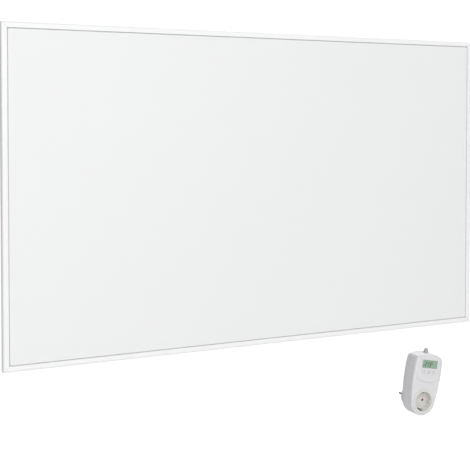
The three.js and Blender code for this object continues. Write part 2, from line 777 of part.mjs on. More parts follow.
function addGland(group) {
  const flangeTop = boxZ0 - seatGap;
  const flangeLow = flangeTop - glandFlangeLength;
  const nutTop = flangeLow - seatGap;
  const nutLow = nutTop - glandNutLength;
  const threadLow = nutTop - glandThreadGrip;
  const threadHigh = boxZ0 + boxWall + glandThreadInside;
  const at = [boxX, glandY];
  const body = cut(
    join(rodZ(glandThread, [threadLow, threadHigh], at), rodZ(glandFlange, [flangeLow, flangeTop], at, 6)),
    rodZ(glandBodyBore, [threadLow - overcut, threadHigh + overcut], at, 16),
  );
  addPiece(group, "gland_body", body, darkPlastic);
  const cap = turnedZ(
    [
      [glandBore, nutLow],
      [glandBore + glandLip, nutLow],
      [glandThread + glandNutWall / 2, nutLow + glandTaper / 2],
      [glandThread + glandNutWall, nutLow + glandTaper],
      [glandThread + glandNutWall, nutTop],
      [glandThread + seatGap, nutTop],
      [glandThread + seatGap, threadLow - seatGap],
      [glandBore, threadLow - seatGap],
      [glandBore, nutLow],
    ],
    at,
  );
  const grip = cut(
    rodZ(glandFlange, [nutTop - glandGripLength, nutTop], at, 6),
    rodZ(glandThread + glandNutWall / 2, [nutLow, nutTop + overcut], at),
  );
  addPiece(group, "gland_nut", join(cap, grip), darkPlastic);
}

// ---------------------------------------------------------------- thermostat: places that its pieces share
// In the thermostat's own frame the plug axis is x = z = 0, the housing's back is y = 0, and the
// room is towards -Y.
const housingFront = -housingDepth;
const housingInside = housingFront + housingWall;
const domeFront = housingFront - domeRise;
const domeInside = domeFront + housingWall;
const partingFront = -partingDepth - partingGap / 2;
const partingBack = -partingDepth + partingGap / 2;

const collarBack = housingFront - seatGap;
const collarFront = collarBack - collarThickness;
const socketFloorY = collarFront + socketDepth;
const socketBack = socketFloorY + socketFloor;
const cupRadius = socketMouth - socketChamfer + socketWall;
const shutterFront = socketBack + seatGap;
const shutterBack = shutterFront + shutterThickness;
const powerBoardBack = -powerBoardDepth;
const powerBoardFront = powerBoardBack - boardThickness;

const lensFront = domeFront + windowLip + seatGap;
const lensBack = lensFront + lensThickness;
const displayFront = lensBack + seatGap;
const displayBack = displayFront + displayThickness;
const controlBoardFront = displayBack + seatGap;
const controlBoardBack = controlBoardFront + boardThickness;
const buttonFlangeFront = domeInside + seatGap;
const buttonFlangeBack = buttonFlangeFront + buttonFlangeThickness;
const buttonStemBack = buttonFlangeBack + buttonStemLength;
const plungerFront = buttonStemBack + buttonTravel + seatGap;

const farAway = 200; // beyond every piece of the thermostat
const pins = [["live", -pinOffset], ["neutral", pinOffset]];
const ends = [["top", 1], ["bottom", -1]];
const between = (a, b) => [Math.min(a, b), Math.max(a, b)];

// The side of the housing is one large circle, tangent to the nose and widest beside the display.
const sideRadius = noseRadius + (widestHeight ** 2 + housingFlare ** 2) / (2 * housingFlare);
const sideCentre = noseRadius + housingFlare - sideRadius;
const crownCentre = housingTop - crownRadius;

function housingOutline(inset) {
  const circles = [
    [sideCentre, widestHeight, sideRadius],
    [0, crownCentre, crownRadius],
    [-sideCentre, widestHeight, sideRadius],
  ];
  return roundedOutline(circles, [shoulderRadius, shoulderRadius, noseRadius], inset);
}

// The raised field round the display ends in a smile-shaped arc above the socket.
function domeOutline(inset) {
  const circles = [
    [sideCentre, widestHeight, sideRadius - domeSideInset],
    [0, crownCentre, crownRadius - domeTopInset],
    [-sideCentre, widestHeight, sideRadius - domeSideInset],
    [0, domeLow + domeSmileRadius, domeSmileRadius],
  ];
  return roundedOutline(circles, [domeShoulder, domeShoulder, domeJaw, domeJaw], inset);
}

// ---------------------------------------------------------------- thermostat: housing
function housingCavity() {
  const innerEdge = Math.max(0.5, housingEdge - housingWall);
  return plate(housingOutline(housingWall), [housingInside, -housingWall], { edge: innerEdge });
}

function cableHole() {
  return rodZ(bootNeck + seatGap, [housingTop - 3 * housingWall, housingTop + overcut], [0, -partingDepth]);
}

function frontShell() {
  const outer = join(
    plate(housingOutline(0), [housingFront, 0], { edge: housingEdge }),
    plate(domeOutline(0), [domeFront, housingFront + 2 * domeEdge], { edge: domeEdge }),
  );
  const domeCavity = plate(domeOutline(housingWall), [domeInside, housingInside + overcut], {
    edge: Math.max(0.3, domeEdge - housingWall),
    edgeSteps: 1,
  });
  const bosses = screwPlaces.map((place) =>
    rodY(screwBoss, [housingFront + housingWall / 2, partingFront], place, 12),
  );
  const posts = controlPosts.map((place) =>
    rodY(controlPostRadius, [domeInside - housingWall / 4, controlBoardFront - seatGap], place, 10),
  );
  const shell = join(cut(outer, housingCavity(), domeCavity), ...bosses, ...posts);
  const [windowX, windowZ] = windowPlace;
  const throughDome = [domeFront - overcut, domeInside + overcut];
  const lensHalfWidth = windowWidth / 2 + lensBorder + seatGap;
  const lensHalfHeight = windowHeight / 2 + lensBorder + seatGap;
  const opened = cut(
    shell,
    rodY(cupRadius + seatGap, [housingFront - overcut, housingInside + overcut], [0, 0], 36),
    plate(
      rectangle(
        [windowX - windowWidth / 2, windowX + windowWidth / 2],
        [windowZ - windowHeight / 2, windowZ + windowHeight / 2],
      ),
      throughDome,
    ),
    block(
      [windowX - lensHalfWidth, windowX + lensHalfWidth],
      [domeFront + windowLip, domeInside + overcut],
      [windowZ - lensHalfHeight, windowZ + lensHalfHeight],
    ),
    ...Object.values(buttonPlaces).map((x) =>
      plate(oval([x, buttonHeight], buttonHalfWidth + seatGap, buttonHalfHeight + seatGap), throughDome),
    ),
    ...screwPlaces.map((place) => {
      const tip = -screwHeadWell - screwLength;
      return rodY(screwShank + seatGap, [tip - seatGap, partingFront + overcut], place, 10);
    }),
    cableHole(),
  );
  return opened.intersect(block([-farAway, farAway], [-farAway, partingFront], [-farAway, farAway]));
}

function rearShell() {
  const outer = plate(housingOutline(0), [housingFront, 0], { edge: housingEdge });
  const plug = turnedY(
    [
      [0, -housingWall / 2],
      [plugRadius, -housingWall / 2],
      [plugRadius, plugDepth - plugChamfer],
      [plugRadius - plugChamfer, plugDepth],
      [0, plugDepth],
    ],
    [0, 0],
    32,
  );
  const bosses = screwPlaces.map((place) => rodY(screwBoss, [partingBack, -housingWall / 2], place, 12));
  const posts = boardPosts.map((place) =>
    rodY(boardPostRadius, [powerBoardBack + seatGap, -housingWall / 2], place, 10),
  );
  const half = cut(outer, housingCavity()).intersect(
    block([-farAway, farAway], [partingBack, farAway], [-farAway, farAway]),
  );
  const grooveFloor = plugStrapHeight - strapThickness / 2 - seatGap;
  const slotHalf = strapWidth / 2 + seatGap;
  const slotTop = strapHeight + strapThickness / 2 + seatGap;
  const keyway = plugRadius - 0.6 * plugWall;
  const beyondPlug = plugRadius + overcut;
  return cut(
    join(half, plug, ...bosses, ...posts),
    rodY(plugRadius - plugWall, [-housingWall - overcut, plugDepth - plugWall], [0, 0], 32),
    ...pins.map(([, x]) => rodY(pinHoleRadius, [plugDepth - plugWall - overcut, plugDepth + overcut], [x, 0])),
    ...ends.flatMap(([, end]) => [
      block(
        [-slotHalf, slotHalf],
        [-housingWall / 4, plugDepth - plugChamfer],
        between(end * grooveFloor, end * beyondPlug),
      ),
      block([-slotHalf, slotHalf], [-housingWall - overcut, overcut], between(end * grooveFloor, end * slotTop)),
    ]),
    ...[-1, 1].map((side) =>
      block(
        between(side * keyway, side * beyondPlug),
        [plugKeywayStart, plugDepth + overcut],
        [-keyRibWidth / 2, keyRibWidth / 2],
      ),
    ),
    ...screwPlaces.flatMap((place) => [
      rodY(screwHead + seatGap, [-screwHeadWell, overcut], place, 14),
      rodY(screwShank + seatGap, [partingBack - overcut, overcut], place, 10),
    ]),
    cableHole(),
  );
}

function addHousing(group) {
  addPiece(group, "housing_front", frontShell(), housingWhite);
  addPiece(group, "housing_rear", rearShell(), housingWhite);
  screwPlaces.forEach((place, i) => {
    const headFront = -screwHeadWell + seatGap;
    const screw = join(
      rodY(screwHead, [headFront, headFront + screwHeadThickness], place, 16),
      rodY(screwShank, [-screwHeadWell - screwLength, headFront + screwHeadThickness / 2], place, 12),
    );
    addPiece(group, `housing_screw_${i + 1}`, screw, zincScrew);
  });
}

// The ribbed sleeve at the top of the housing, held between the two shells by its neck.
function addCableBoot(group) {
  const inside = housingTop - housingWall - 2 * seatGap;
  const low = housingTop + seatGap;
  const pitch = bootLength / bootRibs;
  const ribs = Array.from({ length: bootRibs }, (_, i) => {
    const at = (share) => bootBaseRadius + ((bootTipRadius - bootBaseRadius) * (i + share)) / bootRibs;
    const z = low + i * pitch;
    const ring = [[at(0), z], [at(0.55), z + 0.55 * pitch]];
    const waist = [[at(0.6) - bootGroove, z + 0.6 * pitch], [at(0.95) - bootGroove, z + 0.95 * pitch]];
    return i < bootRibs - 1 ? [...ring, ...waist] : [[at(0), z], [at(1), z + pitch]];
  }).flat();
  const profile = [
    [bootBore, inside - bootFlange],
    [bootBaseRadius, inside - bootFlange],
    [bootBaseRadius, inside],
    [bootNeck, inside],
    [bootNeck, low],
    ...ribs,
    [bootBore, low + bootLength],
    [bootBore, inside - bootFlange],
  ];
  addPiece(group, "cable_boot", turnedZ(profile, [0, -partingDepth], 14), bootGrey);
}

// ---------------------------------------------------------------- thermostat: socket and plug
function socketCup() {
  const cup = turnedY(
    [
      [0, socketFloorY],
      [socketFloorRadius - 1, socketFloorY],
      [socketFloorRadius, socketFloorY - 1],
      [socketMouth - socketChamfer, collarFront + socketChamfer],
      [socketMouth, collarFront],
      [collarRadius - collarThickness / 2, collarFront],
      [collarRadius, collarFront + collarThickness / 2],
      [collarRadius, collarBack],
      [cupRadius, collarBack],
      [cupRadius, socketBack],
      [0, socketBack],
    ],
    [0, 0],
    36,
  );
  const ribs = [-1, 1].map((side) =>
    block(
      between(side * (socketFloorRadius - keyRibReach), side * (cupRadius - socketWall / 2)),
      [socketFloorY - keyRibHeight, socketFloorY + socketFloor / 4],
      [-keyRibWidth / 2, keyRibWidth / 2],
    ),
  );
  const slotHalf = strapWidth / 2 + seatGap;
  const slots = ends.map(([, end]) =>
    block(
      [-slotHalf, slotHalf],
      [collarBack + overcut, socketBack + overcut],
      between(end * earthSlotRadius, end * (cupRadius + overcut)),
    ),
  );
  return cut(
    join(cup, ...ribs, rodY(shutterPivot, [socketFloorY + socketFloor / 2, shutterBack], [0, 0], 16)),
    ...pins.map(([, x]) => rodY(pinHoleRadius, [socketFloorY - overcut, socketBack + overcut], [x, 0])),
    ...slots,
  );
}

// A disc behind the socket's floor. At rest it closes both pin holes, and turned by shutterTurn
// its own holes come to stand behind them.
function shutterRotor() {
  const bore = shutterPivot + seatGap;
  const disc = turnedY([
    [bore, shutterFront],
    [shutterRadius, shutterFront],
    [shutterRadius, shutterBack],
    [bore, shutterBack],
    [bore, shutterFront],
  ]);
  const angle = THREE.MathUtils.degToRad(shutterTurn);
  const holes = [-1, 1].map((side) => {
    const place = [side * pinOffset * Math.cos(angle), side * pinOffset * Math.sin(angle)];
    return rodY(shutterHole, [shutterFront - overcut, shutterBack + overcut], place);
  });
  return cut(disc, ...holes);
}

// A spring strap that runs from its clip inside the socket to its contact along the plug.
function earthStrap(end) {
  const clipFront = collarBack + overcut + strapThickness;
  const clipBack = socketFloorY - strapThickness;
  const bow = (share, i) => [clipFront + share * (clipBack - clipFront), clipHeight + clipBow[i]];
  const line = [
    [clipFront, strapHeight],
    ...[0.25, 0.5, 0.85].map(bow),
    [clipBack, strapHeight],
    [-housingWall - strapThickness, strapHeight],
    [2 * strapThickness, plugStrapHeight],
    [plugDepth - plugWall - strapThickness / 2, plugStrapHeight],
  ];
  const section = strip(line.map(([y, z]) => [y, end * z]), strapThickness);
  return solidOf(alongX(section, [-strapWidth / 2, strapWidth / 2]));
}

function contactSleeve(x) {
  const bore = pinRadius + 0.1;
  const front = shutterBack + seatGap;
  const back = powerBoardFront - seatGap;
  const profile = [
    [bore, front],
    [bore + sleeveWall, front],
    [bore + sleeveWall, back],
    [bore, back],
    [bore, front],
  ];
  return turnedY(profile, [x, 0], 16);
}

function plugPin(x) {
  const flangeBack = plugDepth - plugWall - seatGap;
  const tip = plugDepth + pinLength;
  const profile = [
    [0, powerBoardBack + seatGap],
    [pinRadius, powerBoardBack + seatGap],
    [pinRadius, flangeBack - pinFlange],
    [pinFlangeRadius, flangeBack - pinFlange],
    [pinFlangeRadius, flangeBack],
    [pinRadius, flangeBack],
    [pinRadius, tip - pinNose],
    [pinRadius - 0.3 * pinNose, tip - 0.3 * pinNose],
    [pinRadius - 0.8 * pinNose, tip],
    [0, tip],
  ];
  return turnedY(profile, [x, 0], 16);
}

function addSocketAndPlug(group) {
  addPiece(group, "socket_cup", socketCup(), socketWhite);
  addPiece(group, "socket_shutter", shutterRotor(), shutterRed);
  for (const [pole, x] of pins) {
    addPiece(group, `contact_sleeve_${pole}`, contactSleeve(x), nickel);
    addPiece(group, `plug_pin_${pole}`, plugPin(x), nickel);
  }
  for (const [name, end] of ends) addPiece(group, `earth_strap_${name}`, earthStrap(end), nickel);
}

// ---------------------------------------------------------------- thermostat: display, buttons and boards
function addDisplay(group) {
  const [x, z] = windowPlace;
  const lensX = windowWidth / 2 + lensBorder;
  const lensZ = windowHeight / 2 + lensBorder;
  const lens = block([x - lensX, x + lensX], [lensFront, lensBack], [z - lensZ, z + lensZ]);
  addPiece(group, "display_lens", lens, clearLens);
  const module = block(
    [x - displayWidth / 2, x + displayWidth / 2],
    [displayFront, displayBack],
    [z - displayHeight / 2, z + displayHeight / 2],
  );
  addPiece(group, "display_module", module, displayGreen);
}

function addButtons(group) {
  for (const [name, x] of Object.entries(buttonPlaces)) {
    const cap = plate(
      oval([x, buttonHeight], buttonHalfWidth, buttonHalfHeight),
      [domeFront - buttonProud, buttonFlangeBack],
      { edge: 0.5, edgeSteps: 1 },
    );
    const flange = plate(
      oval([x, buttonHeight], buttonHalfWidth + buttonFlange, buttonHalfHeight + buttonFlange),
      [buttonFlangeFront, buttonFlangeBack],
    );
    const stem = rodY(buttonStemRadius, [buttonFlangeFront, buttonStemBack], [x, buttonHeight], 12);
    addPiece(group, `button_${name}`, join(cap, flange, stem), buttonWhite);

    const switchBack = controlBoardFront - seatGap;
    const half = switchSize / 2;
    const key = join(
      block(
        [x - half, x + half],
        [switchBack - switchThickness, switchBack],
        [buttonHeight - half, buttonHeight + half],
      ),
      rodY(switchPlunger, [plungerFront, switchBack - switchThickness / 2], [x, buttonHeight], 12),
    );
    addPiece(group, `tact_switch_${name}`, key, darkPlastic);
  }
}

function addBoards(group) {
  const controlBoard = plate(
    rectangle([-controlBoardHalfWidth, controlBoardHalfWidth], [controlBoardLow, controlBoardHigh], 2),
    [controlBoardFront, controlBoardBack],
  );
  addPiece(group, "control_board", controlBoard, boardGreen);

  const slotHalf = strapWidth / 2 + seatGap;
  const slotReach = strapThickness / 2 + seatGap;
  const through = [powerBoardFront - overcut, powerBoardBack + overcut];
  const powerBoard = cut(
    plate(housingOutline(housingWall + boardClearance), [powerBoardFront, powerBoardBack]),
    ...screwPlaces.map((place) => rodY(screwBoss + seatGap, through, place, 12)),
    ...ends.map(([, end]) =>
      block(
        [-slotHalf, slotHalf],
        through,
        between(end * (strapHeight - slotReach), end * (strapHeight + slotReach)),
      ),
    ),
  );
  addPiece(group, "power_board", powerBoard, boardGreen);

  const onBoard = ([width, deep, tall], [x, z]) =>
    block(
      [x - width / 2, x + width / 2],
      [powerBoardFront - seatGap - deep, powerBoardFront - seatGap],
      [z - tall / 2, z + tall / 2],
    );
  addPiece(group, "relay", onBoard(relaySize, relayPlace), relayBlue);
  addPiece(group, "supply_block", onBoard(supplySize, supplyPlace), darkPlastic);
}

// ---------------------------------------------------------------- the whole set
const panel = new THREE.Group();
addFrame(panel);
addHeatedLayers(panel);
addBack(panel);
addBrackets(panel);
addTerminalBox(panel);

const thermostat = new THREE.Group();
addHousing(thermostat);
addCableBoot(thermostat);
addSocketAndPlug(thermostat);
addDisplay(thermostat);
addButtons(thermostat);
addBoards(thermostat);
thermostat.position.set(halfWidth - plugInset, -outletFace, -halfHeight - plugDrop);
thermostat.rotation.y = THREE.MathUtils.degToRad(thermostatRoll);

const heater = new THREE.Group();
heater.add(panel, thermostat);
export default heater;
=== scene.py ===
"""An infrared panel heater on its wall brackets, and the plug-in thermostat below it.

Shapes are worked out in millimetres and put into the meshes in metres. The wall is the plane y = 0, the
room is on its -Y side, and the thermostat is drawn in a frame of its own: plug axis at x = z = 0, back of
the housing at y = 0, z up along the housing. A form is a pair (points, faces).
"""

import json
import math

import bmesh
import bpy
import numpy as np
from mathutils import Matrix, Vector, geometry


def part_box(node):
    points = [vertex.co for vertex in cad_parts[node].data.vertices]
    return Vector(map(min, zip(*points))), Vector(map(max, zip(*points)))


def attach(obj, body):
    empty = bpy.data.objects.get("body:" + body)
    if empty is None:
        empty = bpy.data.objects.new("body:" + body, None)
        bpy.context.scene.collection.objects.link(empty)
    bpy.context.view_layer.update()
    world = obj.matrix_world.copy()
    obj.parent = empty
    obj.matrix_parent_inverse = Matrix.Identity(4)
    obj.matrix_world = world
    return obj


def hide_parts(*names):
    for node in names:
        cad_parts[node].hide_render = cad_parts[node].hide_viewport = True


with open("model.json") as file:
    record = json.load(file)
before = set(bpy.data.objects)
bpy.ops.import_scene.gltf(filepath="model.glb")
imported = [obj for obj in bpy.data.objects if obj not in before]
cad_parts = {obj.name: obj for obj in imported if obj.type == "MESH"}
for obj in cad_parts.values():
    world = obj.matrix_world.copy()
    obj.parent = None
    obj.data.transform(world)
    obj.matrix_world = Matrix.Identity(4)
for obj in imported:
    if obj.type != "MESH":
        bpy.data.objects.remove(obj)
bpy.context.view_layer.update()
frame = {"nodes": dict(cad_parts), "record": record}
MM = 0.001
TINY = 1e-12


def box_of(node):
    """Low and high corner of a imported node, in mm."""
    low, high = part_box(node)
    return np.array(low) / MM, np.array(high) / MM


def mount(name):
    """Place of one of the record's mounts, in mm."""
    return np.array(next(m["pos_m"] for m in frame["record"]["mounts"] if m["name"] == name)) / MM


# -------------------------------------------------------------------------------- sizes, in mm
FRAME_BOXES = [box_of(f"frame_{side}") for side in ("left", "bottom", "right", "top")]
PANEL_LOW = np.min([low for low, _ in FRAME_BOXES], axis=0)
PANEL_HIGH = np.max([high for _, high in FRAME_BOXES], axis=0)
HALF_WIDTH = (PANEL_HIGH[0] - PANEL_LOW[0]) / 2
HALF_HEIGHT = (PANEL_HIGH[2] - PANEL_LOW[2]) / 2
PANEL_FRONT = PANEL_LOW[1]
PANEL_DEPTH = PANEL_HIGH[1] - PANEL_LOW[1]
SEAT_GAP = 0.3  # clearance between pieces that rest on each other
MITRE_GAP = 0.3
FRAME_FACE = 10.0
FRAME_ROLL = 4.0  # rounding of the frame's outer front edge
LEDGE_SHEET = 1.2
FACE_LEDGE = (6.3, 2.8)  # depth and reach of the ledge that carries the heated face
BACK_LEDGE_REACH = 6.0
BACK_INSET = 1.6  # back of the frame to the back sheet
SHEET_BACK = PANEL_FRONT + PANEL_DEPTH - BACK_INSET
SHADOW_GAP = 1.5  # groove between the frame and the heated face
BEAD_TOP = 1.9  # front of the frame to the bead in the groove
FRONT_SHEET = 0.8
BACK_SHEET = 0.6

GROOVE_HALF_LENGTH = 304.0  # of the long grooves in the back sheet
GROOVE_HEIGHTS = (-110.0, 0.0, 110.0)
GROOVE_RADIUS, GROOVE_RISE, GROOVE_WALL = 6.0, 1.2, 3.4

BRACKET_HALF, BRACKET_FLANGE, BRACKET_SHEET = 18.0, 31.0, 1.5
KEYHOLE_RADIUS, KEYHOLE_DROP = 5.0, 7.0
KEYHOLE_SLOT, KEYHOLE_SLOT_LIFT = (5.6, 16.8), 1.4
RIVET_RADIUS, RIVET_RISE, RIVET_PLACE = 3.4, 1.6, (24.5, 13.0)

BOX_CORNER, BOX_WALL = 5.0, 2.0
GLAND_THREAD, GLAND_BORE, GLAND_CORNER = 6.0, 3.9, 8.0

HOUSING_DEPTH = 36.0
HOUSING_WALL = 2.2
HOUSING_ROLL = 4.2  # rounding of the housing's front and back edges
INNER_ROLL = HOUSING_ROLL - HOUSING_WALL
PARTING = 18.0
PARTING_GAP = 0.4
DOME_RISE = 3.5
DOME_SLOPE = 3.6
WINDOW = (38.7, 16.9)
WINDOW_PLACE = (-0.5, 78.8)
SOCKET_HOLE = 22.0
BUTTON_PLACES = {"button_plus": -13.3, "button_power": -0.7, "button_minus": 12.0}
BUTTON_HEIGHT = 61.9
BUTTON_SIZE = (4.75, 3.75)
BUTTON_GAP = 0.3
SCREW_PLACES = [(-26.4, 19.0), (26.4, 19.0), (-26.6, 85.5), (26.6, 85.5)]
SCREW_WELL = 3.1
BARREL_RADIUS, BARREL_LENGTH = 19.4, 18.0
PIN_OFFSET, PIN_RADIUS, PIN_TIP = 9.5, 2.4, 37.0
SOCKET_FRONT, SOCKET_FLOOR, SOCKET_BACK = -37.5, -20.0, -18.0
FLOOR_RADIUS = 17.0  # of the socket's floor
STRAP_HALF, STRAP_SPLIT = 2.2, 0.7  # half width of an earth strap, and of the gap between its prongs
BOOT_BASE = 99.7

HOUSING_BACK = mount("housing_back")
PLUG_AXIS = mount("plug_face") * (1, 0, 1) + HOUSING_BACK * (0, 1, 0)
UP = (HOUSING_BACK - PLUG_AXIS) / np.linalg.norm(HOUSING_BACK - PLUG_AXIS)
RIGHT = np.cross((0.0, 1.0, 0.0), UP)


def on_thermostat(form):
    """A form of the thermostat's own frame, in the shared frame."""
    points, faces = form
    points = np.asarray(points, float)
    return PLUG_AXIS + points[..., :1] * RIGHT + points[..., 1:2] * (0, 1, 0) + points[..., 2:] * UP, faces


# -------------------------------------------------------------------------------- meshes
def clean_mesh(name, form, scale, merge, least=None):
    """A mesh of a form: doubles merged, edges shorter than the least dissolved, and faces turned out."""
    points, faces = form
    mesh = bpy.data.meshes.new(name)
    mesh.from_pydata((np.asarray(points) * scale).tolist(), [], [list(map(int, face)) for face in faces])
    shape = bmesh.new()
    shape.from_mesh(mesh)
    bmesh.ops.remove_doubles(shape, verts=shape.verts, dist=merge)
    if least:
        bmesh.ops.dissolve_degenerate(shape, edges=shape.edges, dist=least)
    bmesh.ops.recalc_face_normals(shape, faces=shape.faces)
    shape.to_mesh(mesh)
    shape.free()
    return mesh


def shown(name, mesh):
    """An object for a mesh, in the scene."""
    thing = bpy.data.objects.new(name, mesh)
    bpy.context.scene.collection.objects.link(thing)
    return thing


def make_piece(name, form, body, slot=None, stands_for=(), sharp=35.0, finish=None):
    """A finished object, smooth but for edges sharper than an angle. A finish that is given stands in for the
    slot's own."""
    mesh = clean_mesh(name, form, MM, merge=2e-6, least=1e-7)
    mesh.polygons.foreach_set("use_smooth", np.ones(len(mesh.polygons), bool))
    mesh.set_sharp_from_angle(angle=math.radians(sharp))
    mesh.materials.append(finish or FINISHES[slot])
    piece = shown(name, mesh)
    piece.modifiers.new("flats", "WEIGHTED_NORMAL").keep_sharp = True
    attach(piece, body)
    if stands_for:
        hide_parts(*stands_for)


def joined(*forms):
    """Several forms as one."""
    points, faces, start = [], [], 0
    for some_points, some_faces in forms:
        points.append(np.asarray(some_points, float).reshape(-1, 3))
        faces += [[index + start for index in face] for face in some_faces]
        start += len(points[-1])
    return np.concatenate(points), faces


def skin(rings, cap_first=False, cap_last=False, closed=False):
    """A surface through rings of equal length: point (i, j) is ring i's point j, and each ring's last point
    is joined to its first. Closed joins the last ring to the first, and a cap is one flat face over an end
    ring."""
    rings = np.asarray(rings, float)
    count, around = rings.shape[:2]
    i, j = np.meshgrid(np.arange(count if closed else count - 1), np.arange(around), indexing="ij")
    here, over, beside = (i % count) * around, ((i + 1) % count) * around, (j + 1) % around
    faces = np.stack([here + j, here + beside, over + beside, over + j], -1).reshape(-1, 4).tolist()
    if cap_first:
        faces.append(list(range(around))[::-1])
    if cap_last:
        faces.append(list(range((count - 1) * around, count * around)))
    return rings.reshape(-1, 3), faces


def solid(rings):
    """A skin with a cap at both ends."""
    return skin(rings, cap_first=True, cap_last=True)


def turned(profile, centre=(0.0, 0.0), sides=96, axis="y", closed=False):
    """A profile of (radius, place) pairs turned round an axis along y or z: x = cx + r cos a, and the other
    direction across the axis is c + r sin a."""
    radius, place = np.asarray(profile, float).T
    angle = np.linspace(0, 2 * np.pi, sides, endpoint=False)
    across = centre[0] + radius[:, None] * np.cos(angle)
    other = centre[1] + radius[:, None] * np.sin(angle)
    along = np.broadcast_to(place[:, None], across.shape)
    order = (across, along, other) if axis == "y" else (across, other, along)
    return skin(np.stack(order, -1), closed=closed)


def rod(radius, low, high, centre, sides, axis="y"):
    """A plain round rod between two places on its axis."""
    return turned([(0, low), (radius, low), (radius, high), (0, high)], centre, sides, axis)


def grid_cells(rows, columns):
    """Index of each point of a grid, and the four-sided faces between them."""
    index = np.arange(rows * columns).reshape(rows, columns)
    corners = [index[:-1, :-1], index[1:, :-1], index[1:, 1:], index[:-1, 1:]]
    return index, np.stack(corners, -1).reshape(-1, 4)


def grid_slab(first, second):
    """Two grids of points as the two faces of a slab, joined round their rims."""
    index, cells = grid_cells(*first.shape[:2])
    rim = np.concatenate([index[:-1, 0], index[-1, :-1], index[:0:-1, -1], index[0, :0:-1]])
    ahead, far = np.roll(rim, -1), index.size
    sides = np.stack([rim, ahead, ahead + far, rim + far], -1)
    points = np.concatenate([first.reshape(-1, 3), second.reshape(-1, 3)])
    return points, np.concatenate([cells, cells + far, sides]).tolist()


def quarter(steps):
    """Cosines and sines of evenly stepped angles from 0 to 90 degrees."""
    angle = np.radians(np.linspace(0.0, 90.0, steps))
    return np.cos(angle), np.sin(angle)


def ease(value):
    """0 below 0, 1 above 1, and 3t2 - 2t3 between."""
    value = np.clip(value, 0, 1)
    return value * value * (3 - 2 * value)


def rounding(distance, radius):
    """How far a quarter-round edge has dropped at a distance in from the edge: r - sqrt(r2 - (r - d)2)."""
    inward = np.clip(radius - distance, 0, radius)
    return radius - np.sqrt(radius**2 - inward**2)


# -------------------------------------------------------------------------------- outlines
# An outline is (centres, radii, angles): arcs that follow each other anticlockwise. Moved in by d, its points
# are centre + (radius - d) (cos angle, sin angle), so rings at any inset lie point for point inside each
# other.
def inset(outline, distance=0.0):
    """Points of an outline moved in. No arc gets smaller than a twentieth of a millimetre."""
    centres, radii, angles = outline
    reach = np.maximum(radii - distance, 0.05)[:, None]
    return centres + reach * np.stack([np.cos(angles), np.sin(angles)], -1)


def inset_far(outline, distance, least=1.0):
    """Points of an outline moved in further than its corners' radius: past that, they keep a small round."""
    centres, radii, angles = outline
    reach = radii.min() - least
    middle = (centres.min(0) + centres.max(0)) / 2
    moved = centres - np.sign(centres - middle) * max(0.0, distance - reach)
    return inset((moved, radii, angles), min(distance, reach))


def inside_corner(first, second, corner):
    """Centre of the circle of radius corner that touches two larger circles from inside, on their left."""
    (ax, az, ar), (bx, bz, br) = first, second
    ra, rb = ar - corner, br - corner
    span = math.hypot(bx - ax, bz - az)
    along = (ra * ra - rb * rb + span * span) / (2 * span)
    off = math.sqrt(max(0.0, ra * ra - along * along))
    return np.array([ax + (along * (bx - ax) - off * (bz - az)) / span,
                     az + (along * (bz - az) + off * (bx - ax)) / span])


def round_outline(circles, corners, side_points, corner_points):
    """The outline that follows large circles (x, z, radius) in turn, with a smaller arc after each."""
    count = len(circles)
    middles = [inside_corner(circles[i], circles[(i + 1) % count], corners[i]) for i in range(count)]

    def heading(start, end):
        return math.atan2(end[1] - start[1], end[0] - start[0])

    centres, radii, angles = [], [], []
    for i, (cx, cz, radius) in enumerate(circles):
        following = circles[(i + 1) % count]
        a = heading((cx, cz), middles[i - 1])
        b = a + (heading((cx, cz), middles[i]) - a) % (2 * math.pi)
        c = b + (heading(following[:2], middles[i]) - b) % (2 * math.pi)
        for centre, reach, start, end, steps in (
                ((cx, cz), radius, a, b, side_points), (middles[i], corners[i], b, c, corner_points)):
            centres += [centre] * steps
            radii += [reach] * steps
            angles += list(np.linspace(start, end, steps, endpoint=False))
    return np.array(centres, float), np.array(radii, float), np.array(angles, float)


def rectangle(centre, size, radius, steps):
    """A rectangle with round corners, as an outline."""
    half = np.array(size) / 2 - radius
    signs = np.array([(1, 1), (-1, 1), (-1, -1), (1, -1)])
    angles = np.concatenate([np.linspace(k, k + 1, steps) * np.pi / 2 for k in range(4)])
    centres = np.repeat(np.array(centre) + signs * half, steps, axis=0)
    return centres, np.full(4 * steps, float(radius)), angles


def oval(centre, half_width, half_height, count):
    """Points of an ellipse."""
    angle = np.linspace(0, 2 * np.pi, count, endpoint=False)
    return np.array(centre) + np.stack([half_width * np.cos(angle), half_height * np.sin(angle)], -1)


def circle(centre, radius, count):
    return oval(centre, radius, radius, count)


def rounded_polygon(corners, large_steps):
    """A polygon of (a, b, radius) corners at right angles, turning either way, each replaced by an arc that
    meets both its sides. An arc over 1 mm has the large steps, and a smaller one has 4."""
    points = []
    for k, (a, b, radius) in enumerate(corners):
        here = np.array([a, b], float)
        into = here - np.array(corners[k - 1][:2], float)
        out = np.array(corners[(k + 1) % len(corners)][:2], float) - here
        into, out = into / np.linalg.norm(into), out / np.linalg.norm(out)
        turn = np.linspace(0, np.pi / 2, large_steps if radius > 1 else 4)[:, None]
        centre = here - into * radius + out * radius
        points.append(centre - out * radius * np.cos(turn) + into * radius * np.sin(turn))
    return np.concatenate(points)


def shrunk(loop, distance):
    """A loop moved in along its own normals."""
    along = np.roll(loop, -1, axis=0) - np.roll(loop, 1, axis=0)
    along /= np.linalg.norm(along, axis=1)[:, None]
    normal = np.stack([along[:, 1], -along[:, 0]], -1)
    turn = np.sign((loop[:, 0] * np.roll(loop[:, 1], -1) - np.roll(loop[:, 0], -1) * loop[:, 1]).sum())
    return loop - turn * normal * distance


